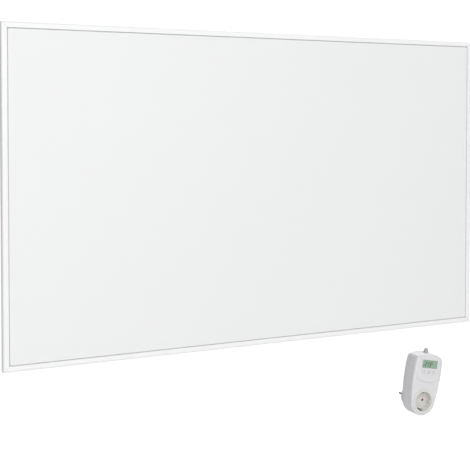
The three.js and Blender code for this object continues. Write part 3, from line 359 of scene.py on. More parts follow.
def dense(loop, spacing):
    """The loop with points added along its long straight stretches."""
    ahead = np.roll(loop, -1, axis=0)
    pieces = np.maximum(1, np.ceil(np.linalg.norm(ahead - loop, axis=1) / spacing)).astype(int)
    shares = np.concatenate([np.arange(n) / n for n in pieces])
    start, end = np.repeat(loop, pieces, axis=0), np.repeat(ahead, pieces, axis=0)
    return start + (end - start) * shares[:, None]


def edge_distance(points, loop):
    """Distance from each point to a closed line."""
    start, step = loop[None], (np.roll(loop, -1, axis=0) - loop)[None]
    away = points[:, None] - start
    share = np.clip((away * step).sum(-1) / np.maximum((step * step).sum(-1), TINY), 0, 1)
    return np.linalg.norm(away - share[..., None] * step, axis=-1).min(1)


def nearest_edge(points, loops):
    """Distance from each point to the nearest of several closed lines."""
    return np.min([edge_distance(points, loop) for loop in loops], axis=0)


def within(points, loop):
    """Whether each point is inside a closed line: a ray towards +x crosses it an odd number of times."""
    x0, z0 = loop.T
    x1, z1 = np.roll(loop, -1, axis=0).T
    x, z = points[:, :1], points[:, 1:]
    crosses = (z0 > z) != (z1 > z)
    where = x0 + (z - z0) * (x1 - x0) / np.where(z1 == z0, TINY, z1 - z0)
    return (crosses & (x < where)).sum(1) % 2 == 1


def in_region(points, outer, holes):
    """Whether each point is inside the outer line and outside the holes."""
    inside = within(points, outer)
    for hole in holes:
        inside &= ~within(points, hole)
    return inside


def tessellated(outer, holes, guides, spacing):
    """Triangles of the region inside outer and outside the holes. Guides are extra points that the triangles
    use, and the rest is filled with points at the spacing. Returns the points, the triangles, and each loop's
    indices."""
    guide_gap, fill_gap = 0.35, 0.55 * spacing
    loops = [outer, *holes]
    chosen = np.concatenate(loops)
    low, high = outer.min(0), outer.max(0)
    grid = np.stack(np.meshgrid(*(np.arange(a + spacing / 2, b, spacing) for a, b in zip(low, high))), -1)
    for extra, gap in [(guide, guide_gap) for guide in guides] + [(grid.reshape(-1, 2), fill_gap)]:
        extra = extra[in_region(extra, outer, holes)]
        if len(extra):
            nearest = np.linalg.norm(extra[:, None] - chosen[None], axis=-1).min(1)
            chosen = np.concatenate([chosen, extra[nearest > gap]])
    edges, start = [], 0
    for loop in loops:
        edges += [(start + i, start + (i + 1) % len(loop)) for i in range(len(loop))]
        start += len(loop)
    found = geometry.delaunay_2d_cdt([Vector(p) for p in chosen.tolist()], edges, [], 0, 1e-6)
    points, faces, origins = np.array(found[0]), np.array(found[2]), found[3]
    place = {origin: index for index, group in enumerate(origins) for origin in group}
    bounds = np.cumsum([0, *map(len, loops)])
    borders = [[place[i] for i in range(a, b)] for a, b in zip(bounds[:-1], bounds[1:])]
    return points, faces[in_region(points[faces].mean(1), outer, holes)].tolist(), borders


def with_depth(points, depth):
    """Flat points (x, z) as space points at a depth y, or at one depth each."""
    return np.stack([points[:, 0], np.broadcast_to(depth, len(points)), points[:, 1]], -1)


def walls(near, far):
    """Faces between two rings of the same length, given by index."""
    near, far = np.array(near), np.array(far)
    return np.stack([near, np.roll(near, -1), np.roll(far, -1), far], -1).tolist()


def plate(outer, holes, front, back, guides, spacing, skirt=None):
    """A plate in the (x, z) plane between two depths. Front and back turn points into depths y. The skirt, a
    list of rings for the outer edge between front and back, is left out for a straight edge."""
    shape, faces, borders = tessellated(outer, holes, guides, spacing)
    if skirt is None:
        other, other_faces, other_borders = shape, faces, borders
    else:
        other, other_faces, other_borders = tessellated(np.asarray(skirt[-1])[:, [0, 2]], holes, [], spacing)
    near, far = with_depth(shape, front(shape)), with_depth(other, back(other))
    form = joined((near, faces), (far, other_faces))
    pairs = list(zip(borders, other_borders))
    if skirt is not None:
        form = joined(form, skin([near[borders[0]], *skirt, far[other_borders[0]]]))
        pairs = pairs[1:]
    for border, other_border in pairs:
        form[1].extend(walls(border, [index + len(near) for index in other_border]))
    return form


def softened(front, loops, radius):
    """A depth function with rounded edges along the loops: deeper by the quarter round near each loop."""
    return lambda points: front(points) + rounding(nearest_edge(points, loops), radius)


def level(depth):
    """A depth function of one depth."""
    return lambda points: np.full(len(points), depth)


def block(low, high, radius):
    """A box with rounded edges along y and at both faces: rings of a round-cornered rectangle, whose corners
    are a hair larger than the rounding, so that its end rings keep a size."""
    size = (high[0] - low[0], high[2] - low[2])
    outline = rectangle(((high[0] + low[0]) / 2, (high[2] + low[2]) / 2), size, radius * 1.01, 6)
    cosine, sine = quarter(4)
    rings = [(radius * (1 - s), low[1] + radius * (1 - c)) for c, s in zip(cosine, sine)]
    rings += [(radius * (1 - s), high[1] - radius * (1 - c)) for c, s in zip(cosine[::-1], sine[::-1])]
    return solid([with_depth(inset(outline, d), y) for d, y in rings])


def swept(section, path):
    """A section carried along a path in the (y, z) plane. Section points are (across x, out from the path),
    and the path's own normal turns with it."""
    path, section = np.asarray(path, float), np.asarray(section, float)
    along = np.gradient(path, axis=0)
    along /= np.linalg.norm(along, axis=1)[:, None]
    normal = np.stack([-along[:, 1], along[:, 0]], -1)
    flat = path[:, None] + section[None, :, 1:] * normal[:, None]
    across = np.broadcast_to(section[None, :, :1], (len(path), len(section), 1))
    return solid(np.concatenate([across, flat], -1))


def smooth_path(corners, steps):
    """A smooth curve through the corners: each span is the cubic that leaves and meets its ends along the
    line between their neighbours."""
    corners = np.asarray(corners, float)
    held = np.concatenate([2 * corners[:1] - corners[1:2], corners, 2 * corners[-1:] - corners[-2:-1]])
    t = np.linspace(0, 1, steps, endpoint=False)[:, None]
    spans = []
    for p0, p1, p2, p3 in zip(held[:-3], held[1:-2], held[2:-1], held[3:]):
        spans.append(0.5 * (2 * p1 + (p2 - p0) * t + (2 * p0 - 5 * p1 + 4 * p2 - p3) * t**2
                            + (3 * p1 - p0 - 3 * p2 + p3) * t**3))
    return np.concatenate([*spans, corners[-1:]])


def carved(form, cutters, join=()):
    """A form with other forms taken away from it or joined to it."""
    def helper(some_form):
        return shown("work", clean_mesh("work", some_form, scale=1, merge=1e-4))

    base = helper(form)
    helpers = []
    for tools, operation in ((join, "UNION"), (cutters, "DIFFERENCE")):
        for tool in tools:
            helpers.append(helper(tool))
            change = base.modifiers.new("change", "BOOLEAN")
            change.operation, change.solver, change.object = operation, "EXACT", helpers[-1]
    result = base.evaluated_get(bpy.context.evaluated_depsgraph_get()).to_mesh()
    points = np.empty(3 * len(result.vertices))
    result.vertices.foreach_get("co", points)
    faces = [list(polygon.vertices) for polygon in result.polygons]
    for work in (base, *helpers):
        bpy.data.objects.remove(work)
    return points.reshape(-1, 3), faces


# -------------------------------------------------------------------------------- finishes
def feed(tree, socket, given):
    """Links a socket to another one, or sets its value."""
    if isinstance(given, bpy.types.NodeSocket):
        tree.links.new(given, socket)
    else:
        socket.default_value = given


def add_node(tree, kind, **inputs):
    """A new node with its inputs fed. An input's name has _ for each blank."""
    node = tree.nodes.new(f"ShaderNode{kind}")
    for label, given in inputs.items():
        feed(tree, node.inputs[label.replace("_", " ")], given)
    return node


def noise(tree, scale, detail, roughness):
    """A noise texture on Object coordinates. Its scale is in waves a metre."""
    place = add_node(tree, "TexCoord").outputs["Object"]
    texture = add_node(tree, "TexNoise", Vector=place, Scale=scale, Detail=detail, Roughness=roughness)
    return texture.outputs["Fac"]


def remapped(tree, value, low, high, start=0.2, end=0.8):
    """A value that is eased from low to high while another goes from start to end."""
    spread = add_node(tree, "MapRange", Value=value, From_Min=start, From_Max=end, To_Min=low, To_Max=high)
    spread.interpolation_type = "SMOOTHSTEP"
    return spread.outputs["Result"]


def blended(tree, share, first, second):
    """Two colours mixed by a share."""
    mix = add_node(tree, "Mix", Factor=share)
    mix.data_type = "RGBA"
    for socket, given in zip([s for s in mix.inputs if s.type == "RGBA"], (first, second)):
        feed(tree, socket, given)
    return next(s for s in mix.outputs if s.type == "RGBA")


def mixed_shader(tree, share, first, second):
    """Two shaders mixed by a share."""
    mix = add_node(tree, "MixShader", Fac=share)
    tree.links.new(first, mix.inputs[1])
    tree.links.new(second, mix.inputs[2])
    return mix.outputs["Shader"]


def surface_group(name, inputs):
    """An empty shader group with inputs {name: default} that gives a height, a roughness and a colour."""
    group = bpy.data.node_groups.new(name, "ShaderNodeTree")
    for label, default in inputs.items():
        kind = "NodeSocketColor" if isinstance(default, tuple) else "NodeSocketFloat"
        group.interface.new_socket(label, in_out="INPUT", socket_type=kind).default_value = default
    for label, kind in (("Height", "Float"), ("Roughness", "Float"), ("Colour", "Color")):
        group.interface.new_socket(label, in_out="OUTPUT", socket_type=f"NodeSocket{kind}")
    entry, leave = group.nodes.new("NodeGroupInput"), group.nodes.new("NodeGroupOutput")
    return group, entry.outputs, leave.inputs


def make_worked_surface():
    """Fine relief, uneven gloss and a slow drift of tone, for coats and moulded plastic."""
    group, given, result = surface_group("worked_surface", {
        "Grain": 2500.0, "Drift": 12.0, "Smoother": 0.35, "Rougher": 0.5,
        "Tone": (0.8, 0.8, 0.8, 1), "Second Tone": (0.78, 0.78, 0.78, 1)})
    drift = noise(group, given["Drift"], 2.0, 0.5)
    feed(group, result["Height"], noise(group, given["Grain"], 3.0, 0.6))
    feed(group, result["Roughness"], remapped(group, drift, given["Smoother"], given["Rougher"]))
    feed(group, result["Colour"], blended(group, drift, given["Tone"], given["Second Tone"]))
    return group


def make_zinc_spangle():
    """Zinc crystals on galvanised sheet: cells of differing tone and gloss, with fine scratches along X."""
    group, given, result = surface_group("zinc_spangle", {
        "Cells": 160.0, "Tone": (0.62, 0.635, 0.65, 1), "Second Tone": (0.7, 0.715, 0.73, 1)})
    place = add_node(group, "TexCoord").outputs["Object"]
    cells = add_node(group, "TexVoronoi", Vector=place, Scale=given["Cells"])
    tone = add_node(group, "SeparateColor", Color=cells.outputs["Color"]).outputs
    stretched = add_node(group, "Mapping", Vector=place, Scale=(4.0, 900.0, 900.0)).outputs["Vector"]
    feed(group, result["Height"], add_node(group, "TexNoise", Vector=stretched, Scale=1.0).outputs["Fac"])
    feed(group, result["Roughness"], remapped(group, tone["Red"], 0.5, 0.58))
    feed(group, result["Colour"], blended(group, tone["Green"], given["Tone"], given["Second Tone"]))
    return group


WORKED = make_worked_surface()
SPANGLE = make_zinc_spangle()


def finish_of(name, group, values, relief=0.00001, strength=0.25, **sockets):
    """A material whose colour, roughness and bump come from a group with its own values. Constant sockets are
    set on the shader itself, and the relief is in metres."""
    material = bpy.data.materials.new(name)
    material.use_nodes = True
    tree = material.node_tree
    surface = tree.nodes.new("ShaderNodeGroup")
    surface.node_tree = group
    for label, value in values.items():
        surface.inputs[label].default_value = value
    bump = add_node(tree, "Bump", Height=surface.outputs["Height"], Distance=relief, Strength=strength)
    sockets |= {"Normal": bump.outputs["Normal"], "Roughness": surface.outputs["Roughness"],
                "Base_Color": surface.outputs["Colour"]}
    for label, given in sockets.items():
        feed(tree, tree.nodes["Principled BSDF"].inputs[label.replace("_", " ")], given)
    return material


def plain(name, colour, smoother, rougher, grain=2500.0, drift=25.0, spread=0.03, **more):
    """A coat, plastic or plating. Its roughness drifts between two values, its tone from the colour to one
    darker by the spread, and grain and drift are in waves a metre."""
    darker = tuple(c * (1 - spread) for c in colour)
    values = {"Grain": grain, "Drift": drift, "Smoother": smoother, "Rougher": rougher,
              "Tone": (*colour, 1), "Second Tone": (*darker, 1)}
    return finish_of(name, WORKED, values, **more)


def zinc(name, metallic, **values):
    """Spangled zinc on sheet steel."""
    values = {label.replace("_", " "): value for label, value in values.items()}
    return finish_of(name, SPANGLE, values, relief=0.000006, strength=0.3, Metallic=metallic)


def make_lens_finish():
    """Clear acrylic: mostly see-through, with a gloss that the lights show on."""
    lens = plain("clear acrylic", (0.08, 0.1, 0.09), 0.03, 0.08, 1500, 40, 0.02, relief=0.000002, Alpha=0.05)
    lens.surface_render_method = "BLENDED"
    return lens


FINISHES = {
    "face_coat": plain("matt powder coat", (0.80, 0.80, 0.80), 0.5, 0.62, 900, 5, 0.012,
                       relief=0.00003, strength=0.3),
    "frame_coat": plain("satin powder coat", (0.855, 0.855, 0.855), 0.32, 0.4, 1100, 9, 0.01,
                        relief=0.00002, strength=0.2),
    # The seal is real, but its grey is darker than the coats on either side so that the groove round the face
    # shows as a dark line: painted shade on top of the groove's own shadow.
    "seal": plain("grey silicone with painted groove shade", (0.55, 0.55, 0.555), 0.6, 0.75, 1500),
    "carbon_film": plain("carbon film", (0.012, 0.012, 0.014), 0.4, 0.6, 3000),
    "copper": plain("copper foil", (0.72, 0.33, 0.18), 0.2, 0.4, 1800, Metallic=1.0),
    "lead_jacket": plain("red silicone jacket", (0.33, 0.05, 0.035), 0.5, 0.65, 2500),
    "cutout_case": plain("nickel-plated case", (0.55, 0.54, 0.52), 0.25, 0.4, 2500, Metallic=1.0),
    "foil": plain("bright foil", (0.8, 0.81, 0.82), 0.15, 0.35, 500, relief=0.0002, Metallic=1.0),
    "wool": plain("pressed mineral wool", (0.62, 0.55, 0.38), 0.85, 1.0, 700, 120, 0.25,
                  relief=0.0006, strength=0.6),
    "galvanised": zinc("galvanised sheet", 0.85, Cells=210.0),
    "box_plastic": plain("dark moulded plastic", (0.022, 0.023, 0.025), 0.4, 0.55, 2600,
                         relief=0.00003, strength=0.4),
    "ceramic": plain("heat-proof ceramic", (0.74, 0.71, 0.63), 0.25, 0.4, 1500),
    "screw_zinc": plain("zinc plating", (0.6, 0.61, 0.63), 0.22, 0.38, 2200, 200, 0.1, Metallic=1.0),
    "housing": plain("white moulded plastic", (0.71, 0.705, 0.715), 0.38, 0.46, 2400, 20, 0.012,
                     relief=0.00002),
    "socket_face": plain("smooth white plastic", (0.70, 0.69, 0.665), 0.25, 0.32, 1500, 30, 0.02),
    "shutter_red": plain("red-brown plastic", (0.30, 0.055, 0.035), 0.35, 0.45, 2200, 200, 0.1),
    "nickel": plain("nickel plating", (0.52, 0.5, 0.47), 0.18, 0.3, 2500, 250, 0.12, Metallic=1.0),
    "lens": make_lens_finish(),
    "display": plain("liquid crystal display", (0.36, 0.53, 0.38), 0.3, 0.36, 2500, 18, 0.06),
    "button": plain("soft white plastic", (0.72, 0.715, 0.72), 0.45, 0.55, 2600, 60, 0.015, relief=0.00002),
    "switch_black": plain("black moulded plastic", (0.02, 0.02, 0.022), 0.4, 0.5, 2400),
    "board": plain("green solder mask", (0.02, 0.14, 0.06), 0.3, 0.42, 1500, 300, 0.2),
    "relay_case": plain("blue moulded case", (0.03, 0.11, 0.33), 0.3, 0.4, 2400),
    "boot": plain("grey elastomer", (0.53, 0.5, 0.495), 0.55, 0.68, 2400, 150, 0.08, relief=0.00003),
}
BRACKET_ZINC = zinc("bright zinc on steel", 0.7, Cells=420.0, Tone=(0.74, 0.75, 0.76, 1),
                    Second_Tone=(0.8, 0.81, 0.82, 1))
PRINT = plain("dark print", (0.03, 0.032, 0.035), 0.5, 0.6, 2500, 300, 0.1)
DIGITS = plain("dark liquid crystal", (0.008, 0.02, 0.012), 0.4, 0.5, 2500, 300, 0.1)


def dress_cad_nodes():
    """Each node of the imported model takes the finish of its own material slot."""
    slots = {row["node"]: row["material_slot"] for row in frame["record"]["subparts"]}
    for name, node in frame["nodes"].items():
        node.data.materials.clear()
        node.data.materials.append(FINISHES[slots[name]])


# -------------------------------------------------------------------------------- panel
def frame_section():
    """Section of a frame bar as (depth behind its front, distance in from its outer edge), anticlockwise: a
    large round at the outer front edge, small ones elsewhere, and the two ledges inside."""
    face, (front_ledge, front_reach) = FRAME_FACE, FACE_LEDGE
    front_ledge_back = front_ledge + LEDGE_SHEET
    back_ledge = PANEL_DEPTH - BACK_INSET - BACK_SHEET - SEAT_GAP
    back_ledge_front = back_ledge - LEDGE_SHEET
    return rounded_polygon([  # depth, distance in, radius
        (0, 0, FRAME_ROLL), (PANEL_DEPTH, 0, 2.5), (PANEL_DEPTH, face, 0.4), (back_ledge, face, 0.2),
        (back_ledge, face + BACK_LEDGE_REACH, 0.3), (back_ledge_front, face + BACK_LEDGE_REACH, 0.3),
        (back_ledge_front, face, 0.2), (front_ledge_back, face, 0.2),
        (front_ledge_back, face + front_reach, 0.3), (front_ledge, face + front_reach, 0.3),
        (front_ledge, face, 0.2), (0, face, 0.7),
    ], large_steps=10)


def frame_bar(length, turn, middle):
    """A bar of the section along X, cut at 45 degrees: its half length shrinks by one for each unit in."""
    section = frame_section()
    reach = length / 2 - section[:, 1] - MITRE_GAP / math.sqrt(2)
    points, faces = solid([np.stack([sign * reach, section[:, 0], section[:, 1]], -1) for sign in (-1, 1)])
    cosine, sine = round(math.cos(turn)), round(math.sin(turn))
    x, y, z = points.T
    return np.stack([cosine * x + sine * z, y, -sine * x + cosine * z], -1) + middle, faces


def add_frame():
    """Four mitred bars, each a quarter turn on from the last."""
    sides = [("bottom", HALF_WIDTH, (0, -HALF_HEIGHT)), ("left", HALF_HEIGHT, (-HALF_WIDTH, 0)),
             ("top", HALF_WIDTH, (0, HALF_HEIGHT)), ("right", HALF_HEIGHT, (HALF_WIDTH, 0))]
    for turn, (side, half, (x, z)) in enumerate(sides):
        form = frame_bar(2 * half, turn * math.pi / 2, np.array([x, PANEL_FRONT, z]))
        make_piece(f"bar_{side}", form, "panel", "frame_coat", [f"frame_{side}"])


def add_heated_face():
    """A shallow tray: rings of a round-cornered rectangle go up its wall and round its bend to its flat."""
    low, high = box_of("front_plate")
    corner, bend, inner_bend, sheet = 2.5, 1.2, 0.4, FRONT_SHEET
    outline = rectangle((0, 0), (high[0] - low[0], high[2] - low[2]), corner, 10)
    outside = [(0, high[1])] + [(bend * (1 - c), low[1] + bend * (1 - s)) for c, s in zip(*quarter(7))]
    inside = [(sheet + inner_bend, low[1] + sheet), (sheet, low[1] + sheet + inner_bend), (sheet, high[1])]
    form = solid([with_depth(inset(outline, d), y) for d, y in [*inside, *outside]])
    make_piece("heated_face", form, "panel", "face_coat", ["front_plate"])


def add_seal_bead():
    """A soft bead in the groove round the face: rings of a rectangle, the middle ones pressed in a little."""
    front, back = PANEL_FRONT + BEAD_TOP, box_of("edge_seal")[1][1]
    skimp, half_dip, hollow, shoulder = 0.02, 0.3, 0.32, 0.25
    outer, middle, inner = FRAME_FACE + skimp, FRAME_FACE + SHADOW_GAP / 2, FRAME_FACE + SHADOW_GAP - skimp
    section = [(outer, back), (outer, front), (middle - half_dip, front + shoulder), (middle, front + hollow),
               (middle + half_dip, front + shoulder), (inner, front), (inner, back)]
    rings = [with_depth(inset(rectangle((0, 0), (2 * (HALF_WIDTH - d), 2 * (HALF_HEIGHT - d)), 0.2, 3)), y)
             for d, y in section]
    # The bead takes the seal's finish, whose grey is partly painted shade for the groove's dark line.
    make_piece("seal_bead", skin(rings, closed=True), "panel", "seal", ["edge_seal"])


def stops(spans):
    """Places along a line: each span is (start, end, step), and doubled places are dropped."""
    places = np.concatenate([np.linspace(a, b, max(2, round((b - a) / step) + 1)) for a, b, step in spans])
    return np.unique(places.round(4))


def add_back_sheet():
    """The back sheet as a grid with both faces and a rim. Three long grooves are pressed out of it: the outer
    face rises by an eased step of the distance from each groove's middle line."""
    low, high = box_of("back_plate")
    coarse, fine = 16, 0.6
    near, length = GROOVE_RADIUS + 0.4, GROOVE_HALF_LENGTH
    x = stops([(low[0], -length - near, coarse), (-length - near, -length, fine), (-length, length, coarse),
               (length, length + near, fine), (length + near, high[0], coarse)])
    edges = [low[2], *(z + side * near for z in GROOVE_HEIGHTS for side in (-1, 1)), high[2]]
    z = stops([(a, b, fine if i % 2 else coarse) for i, (a, b) in enumerate(zip(edges[:-1], edges[1:]))])
    x, z = np.meshgrid(x, z, indexing="ij")
    over = np.maximum(np.abs(x) - length, 0)
    lift = sum(ease((GROOVE_RADIUS - np.hypot(over, z - height)) / GROOVE_WALL) for height in GROOVE_HEIGHTS)
    outer = np.stack([x, SHEET_BACK + GROOVE_RISE * lift, z], -1)
    inner = np.stack([x, np.full_like(x, SHEET_BACK - BACK_SHEET), z], -1)
    make_piece("back_sheet", grid_slab(inner, outer), "panel", "galvanised", ["back_plate"], sharp=60)


def screw_head(radius, height, slot):
    """A pan head that stands out along +Y from y = 0, with a cross recess."""
    cosine, sine = quarter(8)
    dome = [(0, 0), (radius, 0), (radius, 0.25 * height)]
    dome += [(radius * (0.42 + 0.58 * c), height * (0.3 + 0.7 * s)) for c, s in zip(cosine[1:], sine[1:])]
    arm, floor = 0.55 * radius, 0.35 * height
    recess = [block((-arm, floor, -slot / 2), (arm, height + 1, slot / 2), 0.08),
              block((-slot / 2, floor, -arm), (slot / 2, height + 1, arm), 0.08)]
    return carved(turned([*dome, (0, height)], sides=28), recess)


def add_back_screws():
    """Pan heads round the back sheet, over the frame's ledge: four along each long edge, two up each side."""
    radius, rise, slot = 2.7, 1.3, 0.5
    points, faces = screw_head(radius, rise, slot)
    along, down, edge, sink = HALF_WIDTH - 60, HALF_HEIGHT - 70, FRAME_FACE + 3, 0.05
    places = [(x, sign * (HALF_HEIGHT - edge)) for sign in (-1, 1) for x in np.linspace(-along, along, 4)]
    places += [(sign * (HALF_WIDTH - edge), z) for sign in (-1, 1) for z in (-down, down)]
    heads = [(points + (x, SHEET_BACK - sink, z), faces) for x, z in places]
    make_piece("back_screws", joined(*heads), "panel", "screw_zinc")


def bracket_section(foot):
    """A bracket's hat section as (across, depth): flanges on the back sheet, legs and a face on the wall."""
    half, flange, sheet = BRACKET_HALF, BRACKET_FLANGE, BRACKET_SHEET
    inside, top = half - sheet, foot + sheet
    return rounded_polygon([
        (-flange, foot, 0.4), (-inside, foot, 0.6), (-inside, -sheet, 0.6),
        (inside, -sheet, 0.6), (inside, foot, 0.6), (flange, foot, 0.4),
        (flange, top, 0.4), (half, top, 0.6), (half, 0, 1.8),
        (-half, 0, 1.8), (-half, top, 0.6), (-flange, top, 0.4),
    ], large_steps=6)


def add_brackets():
    """Hat-shaped strips with a keyhole: the section carried along Z, and four rivets on the flanges."""
    bevel, through, sink, slot_round = 0.35, (-8.0, 2.0), 0.02, 2.79
    cosine, sine = quarter(7)
    for row, side in (("upper", "left"), ("upper", "right"), ("lower", "left"), ("lower", "right")):
        node = f"wall_bracket_{row}_{side}"
        low, high = box_of(node)
        (x, _, z), tall, foot = (low + high) / 2, (high[2] - low[2]) / 2, low[1]
        section = bracket_section(foot)
        rings = []
        for height, d in ((-tall, bevel), (-tall + bevel, 0.0), (tall - bevel, 0.0), (tall, bevel)):
            across, depth = shrunk(section, d).T
            rings.append(np.stack([across + x, depth, np.full(len(section), z + height)], -1))
        hole = rod(KEYHOLE_RADIUS, *through, (x, z - KEYHOLE_DROP), 40)
        slot = rectangle((x, z + KEYHOLE_SLOT_LIFT), KEYHOLE_SLOT, slot_round, 10)
        slot = solid([with_depth(inset(slot), y) for y in through])
        base = foot + BRACKET_SHEET - sink
        dome = [(0, base), *((RIVET_RADIUS * c, base + RIVET_RISE * s) for c, s in zip(cosine, sine))]
        rivets = [turned(dome, (x + across * RIVET_PLACE[0], z + up * RIVET_PLACE[1]), 24)
                  for across in (-1, 1) for up in (-1, 1)]
        form = joined(carved(solid(rings), [hole, slot]), *rivets)
        make_piece(f"bracket_{row}_{side}", form, "panel", "galvanised", [node], finish=BRACKET_ZINC)


def add_terminal_box():
    """Base and lid as rings of one round-cornered rectangle, with a hole for the gland."""
    low, high = box_of("terminal_box")
    middle, size = (low + high) / 2, high - low
    outline = rectangle((middle[0], middle[2]), (size[0], size[2]), BOX_CORNER, 9)
    edge, bevel, fillet, wall = 0.8, 0.3, 0.4, BOX_WALL
    outside = [(edge * (1 - s), low[1] + edge * (1 - c)) for c, s in zip(*quarter(5))]
    outside += [(0, high[1] - bevel), (bevel, high[1])]
    inside = [(wall - bevel, high[1]), (wall, high[1] - bevel), (wall, low[1] + wall + fillet),
              (wall + fillet, low[1] + wall)]
    base = solid([with_depth(inset(outline, d), y) for d, y in [*outside, *inside]])
    gland = sum(box_of("gland_body")) / 2
    hole = rod(GLAND_THREAD + SEAT_GAP, low[2] - 4, low[2] + 4, gland[:2], 40, "z")
    make_piece("box_base", carved(base, [hole]), "panel", "box_plastic", ["terminal_box"])

    (_, near, _), (_, far, _) = box_of("terminal_box_lid")
    edge, line, line_width, line_depth = 1.1, 5.0, 1.6, 0.35
    cosine, sine = quarter(7)
    rings = [(0, near), (0, far - edge)]
    rings += [(edge * (1 - c), far - edge * (1 - s)) for c, s in zip(cosine[1:], sine[1:])]
    rings += [(line, far), (line + fillet, far - line_depth), (line + line_width - fillet, far - line_depth),
              (line + line_width, far)]
    lid = solid([with_depth(inset_far(outline, d), y) for d, y in rings])
    make_piece("box_lid", lid, "panel", "box_plastic", ["terminal_box_lid"])


def add_lid_screws():
    """Pan-head screws through the lid, with plain shanks."""
    rise, overlap, shank, slot = 1.4, 0.2, 1.3, 0.6
    for k in (1, 2):
        low, high = box_of(f"lid_screw_{k}")
        x, _, z = (low + high) / 2
        points, faces = screw_head((high[0] - low[0]) / 2, rise, slot)
        head = (points + (x, high[1] - rise, z), faces)
        form = joined(head, rod(shank, low[1], high[1] - rise + overlap, (x, z), 20))
        make_piece(f"lid_screw_head_{k}", form, "panel", "screw_zinc", [f"lid_screw_{k}"])


def hexagonal(profile, centre, flat, sides=96):
    """A turned form along Z whose radius is the smaller of the profile's and a hexagon's, which at an angle a
    from the middle of a flat is flat / cos a."""
    radius, place = np.asarray(profile, float).T
    angle = np.linspace(0, 2 * np.pi, sides, endpoint=False)
    off = (angle + np.pi / 6) % (np.pi / 3) - np.pi / 6
    reach = np.minimum(radius[:, None], (flat / np.cos(off))[None])
    rings = np.stack([centre[0] + reach * np.cos(angle), centre[1] + reach * np.sin(angle),
                      np.broadcast_to(place[:, None], reach.shape)], -1)
    return skin(rings, closed=True)


def add_gland():
    """A hexagonal flange, and a domed nut with a hexagonal grip, round the lead's axis."""
    low, high = box_of("gland_body")
    nut_low, nut_high = box_of("gland_nut")
    axis, flat = ((low + high) / 2)[:2], GLAND_CORNER * math.cos(math.pi / 6)
    thread, corner, bevel, chamfer = GLAND_THREAD, GLAND_CORNER, 0.4, 0.5
    lower, upper = nut_high[2] + SEAT_GAP, nut_high[2] + SEAT_GAP + 5.0
    flange = [(GLAND_BORE, low[2]), (thread - bevel, low[2]), (thread, low[2] + bevel), (thread, lower),
              (corner - bevel, lower), (corner, lower + chamfer), (corner, upper - chamfer),
              (corner - bevel, upper), (thread, upper), (thread, high[2]), (GLAND_BORE, high[2])]
    make_piece("gland_flange", hexagonal(flange, axis, flat), "panel", "box_plastic", ["gland_body"], 25)

    mouth, swell, dome_height, grip = 3.3, 4.0, 6.0, 5.9  # the nut's mouth, dome and hexagon
    cosine, sine = quarter(9)
    dome = [(mouth + swell * c, nut_low[2] + dome_height * (1 - s)) for c, s in zip(cosine[::-1], sine[::-1])]
    top, inner, inside_end = nut_high[2], thread + SEAT_GAP, low[2] - SEAT_GAP
    nut = [(mouth, inside_end), (mouth, nut_low[2] + bevel), *dome[1:], (mouth + swell, top - grip - chamfer),
           (corner - bevel, top - grip - chamfer), (corner, top - grip), (corner, top - chamfer),
           (corner - bevel, top), (inner, top), (inner, inside_end)]
    make_piece("gland_cap", hexagonal(nut, axis, flat), "panel", "box_plastic", ["gland_nut"], 25)


# -------------------------------------------------------------------------------- thermostat: housing
# The housing's outline has two flat arcs for its sides, one for its crown, and a nose round the socket. The
# raised field round the display lies inside it, and its lower edge is an arc, the smile.
NOSE, FLARE, WIDEST, CROWN, CROWN_TOP = 30.0, 5.2, 55.0, 69.0, 99.7
SIDE = NOSE + (WIDEST**2 + FLARE**2) / (2 * FLARE)
SIDE_CENTRE = NOSE + FLARE - SIDE
FIELD_SIDE, FIELD_TOP = 4.2, 2.2  # outline to the raised field, at its sides and at its top
SMILE = (0.0, 95.1, 56.0)
APRON = 64.2  # radius, round the smile's centre, of the faint step below the raised field


def housing_outline(side_in, top_in, corners, *more, steps):
    """The outline of the housing, or of a field inside it."""
    right, left = ((centre, WIDEST, SIDE - side_in) for centre in (SIDE_CENTRE, -SIDE_CENTRE))
    return round_outline([right, (0, CROWN_TOP - CROWN, CROWN - top_in), left, *more], corners, *steps)


HOUSING = housing_outline(0, 0, [11.0, 11.0, NOSE], steps=(60, 34))
DOME = housing_outline(FIELD_SIDE, FIELD_TOP, [8.0, 8.0, 5.0, 5.0], SMILE, steps=(44, 18))


def depth_in(points, field):
    """How far each point is inside a closed line, and 0 outside it."""
    return np.where(within(points, field), edge_distance(points, field), 0)


def housing_front(points):
    """Depth of the housing's front. The edge is a quarter round of the distance from the outline. The field
    round the display rises by a sine of the distance inside its own outline, with a slight crown. The apron
    round the field starts with a small step and climbs evenly to the field's edge."""
    fullness, fall, middle, reach, step, step_width = 1.35, 0.25, (0, 70), (30, 34), 0.3, 0.8
    edge = edge_distance(points, inset(HOUSING))
    share = np.clip(depth_in(points, inset(DOME)) / DOME_SLOPE, 0, 1)
    rise = DOME_RISE * np.sin(share * np.pi / 2) ** fullness
    crown = fall * np.clip((((points - middle) / reach) ** 2).sum(1), 0, 1) * share
    below = APRON - np.hypot(points[:, 0] - SMILE[0], points[:, 1] - SMILE[1])
    climb = np.clip(below / (APRON - SMILE[2]), 0, 1)
    apron = (step * ease(below / step_width) + (1 - step) * climb) * ease(edge / HOUSING_ROLL)
    return -HOUSING_DEPTH - rise + crown - apron * (1 - share) + rounding(edge, HOUSING_ROLL)


def housing_inside(points):
    """Depth of the inner face of the housing's front, one wall in."""
    inside = depth_in(points, inset(DOME, HOUSING_WALL))
    return -HOUSING_DEPTH + HOUSING_WALL - DOME_RISE * ease(inside / 2.0)


def window_loop(grown=0.0):
    """The display window's edge, or a line round it."""
    return dense(inset(rectangle(WINDOW_PLACE, WINDOW, 0.8, 6), -grown), 1.2)


def button_loops(gap=BUTTON_GAP):
    """Ovals round the three buttons, at a gap from their caps."""
    wide, tall = BUTTON_SIZE
    return [oval((x, BUTTON_HEIGHT), wide + gap, tall + gap, 56) for x in BUTTON_PLACES.values()]


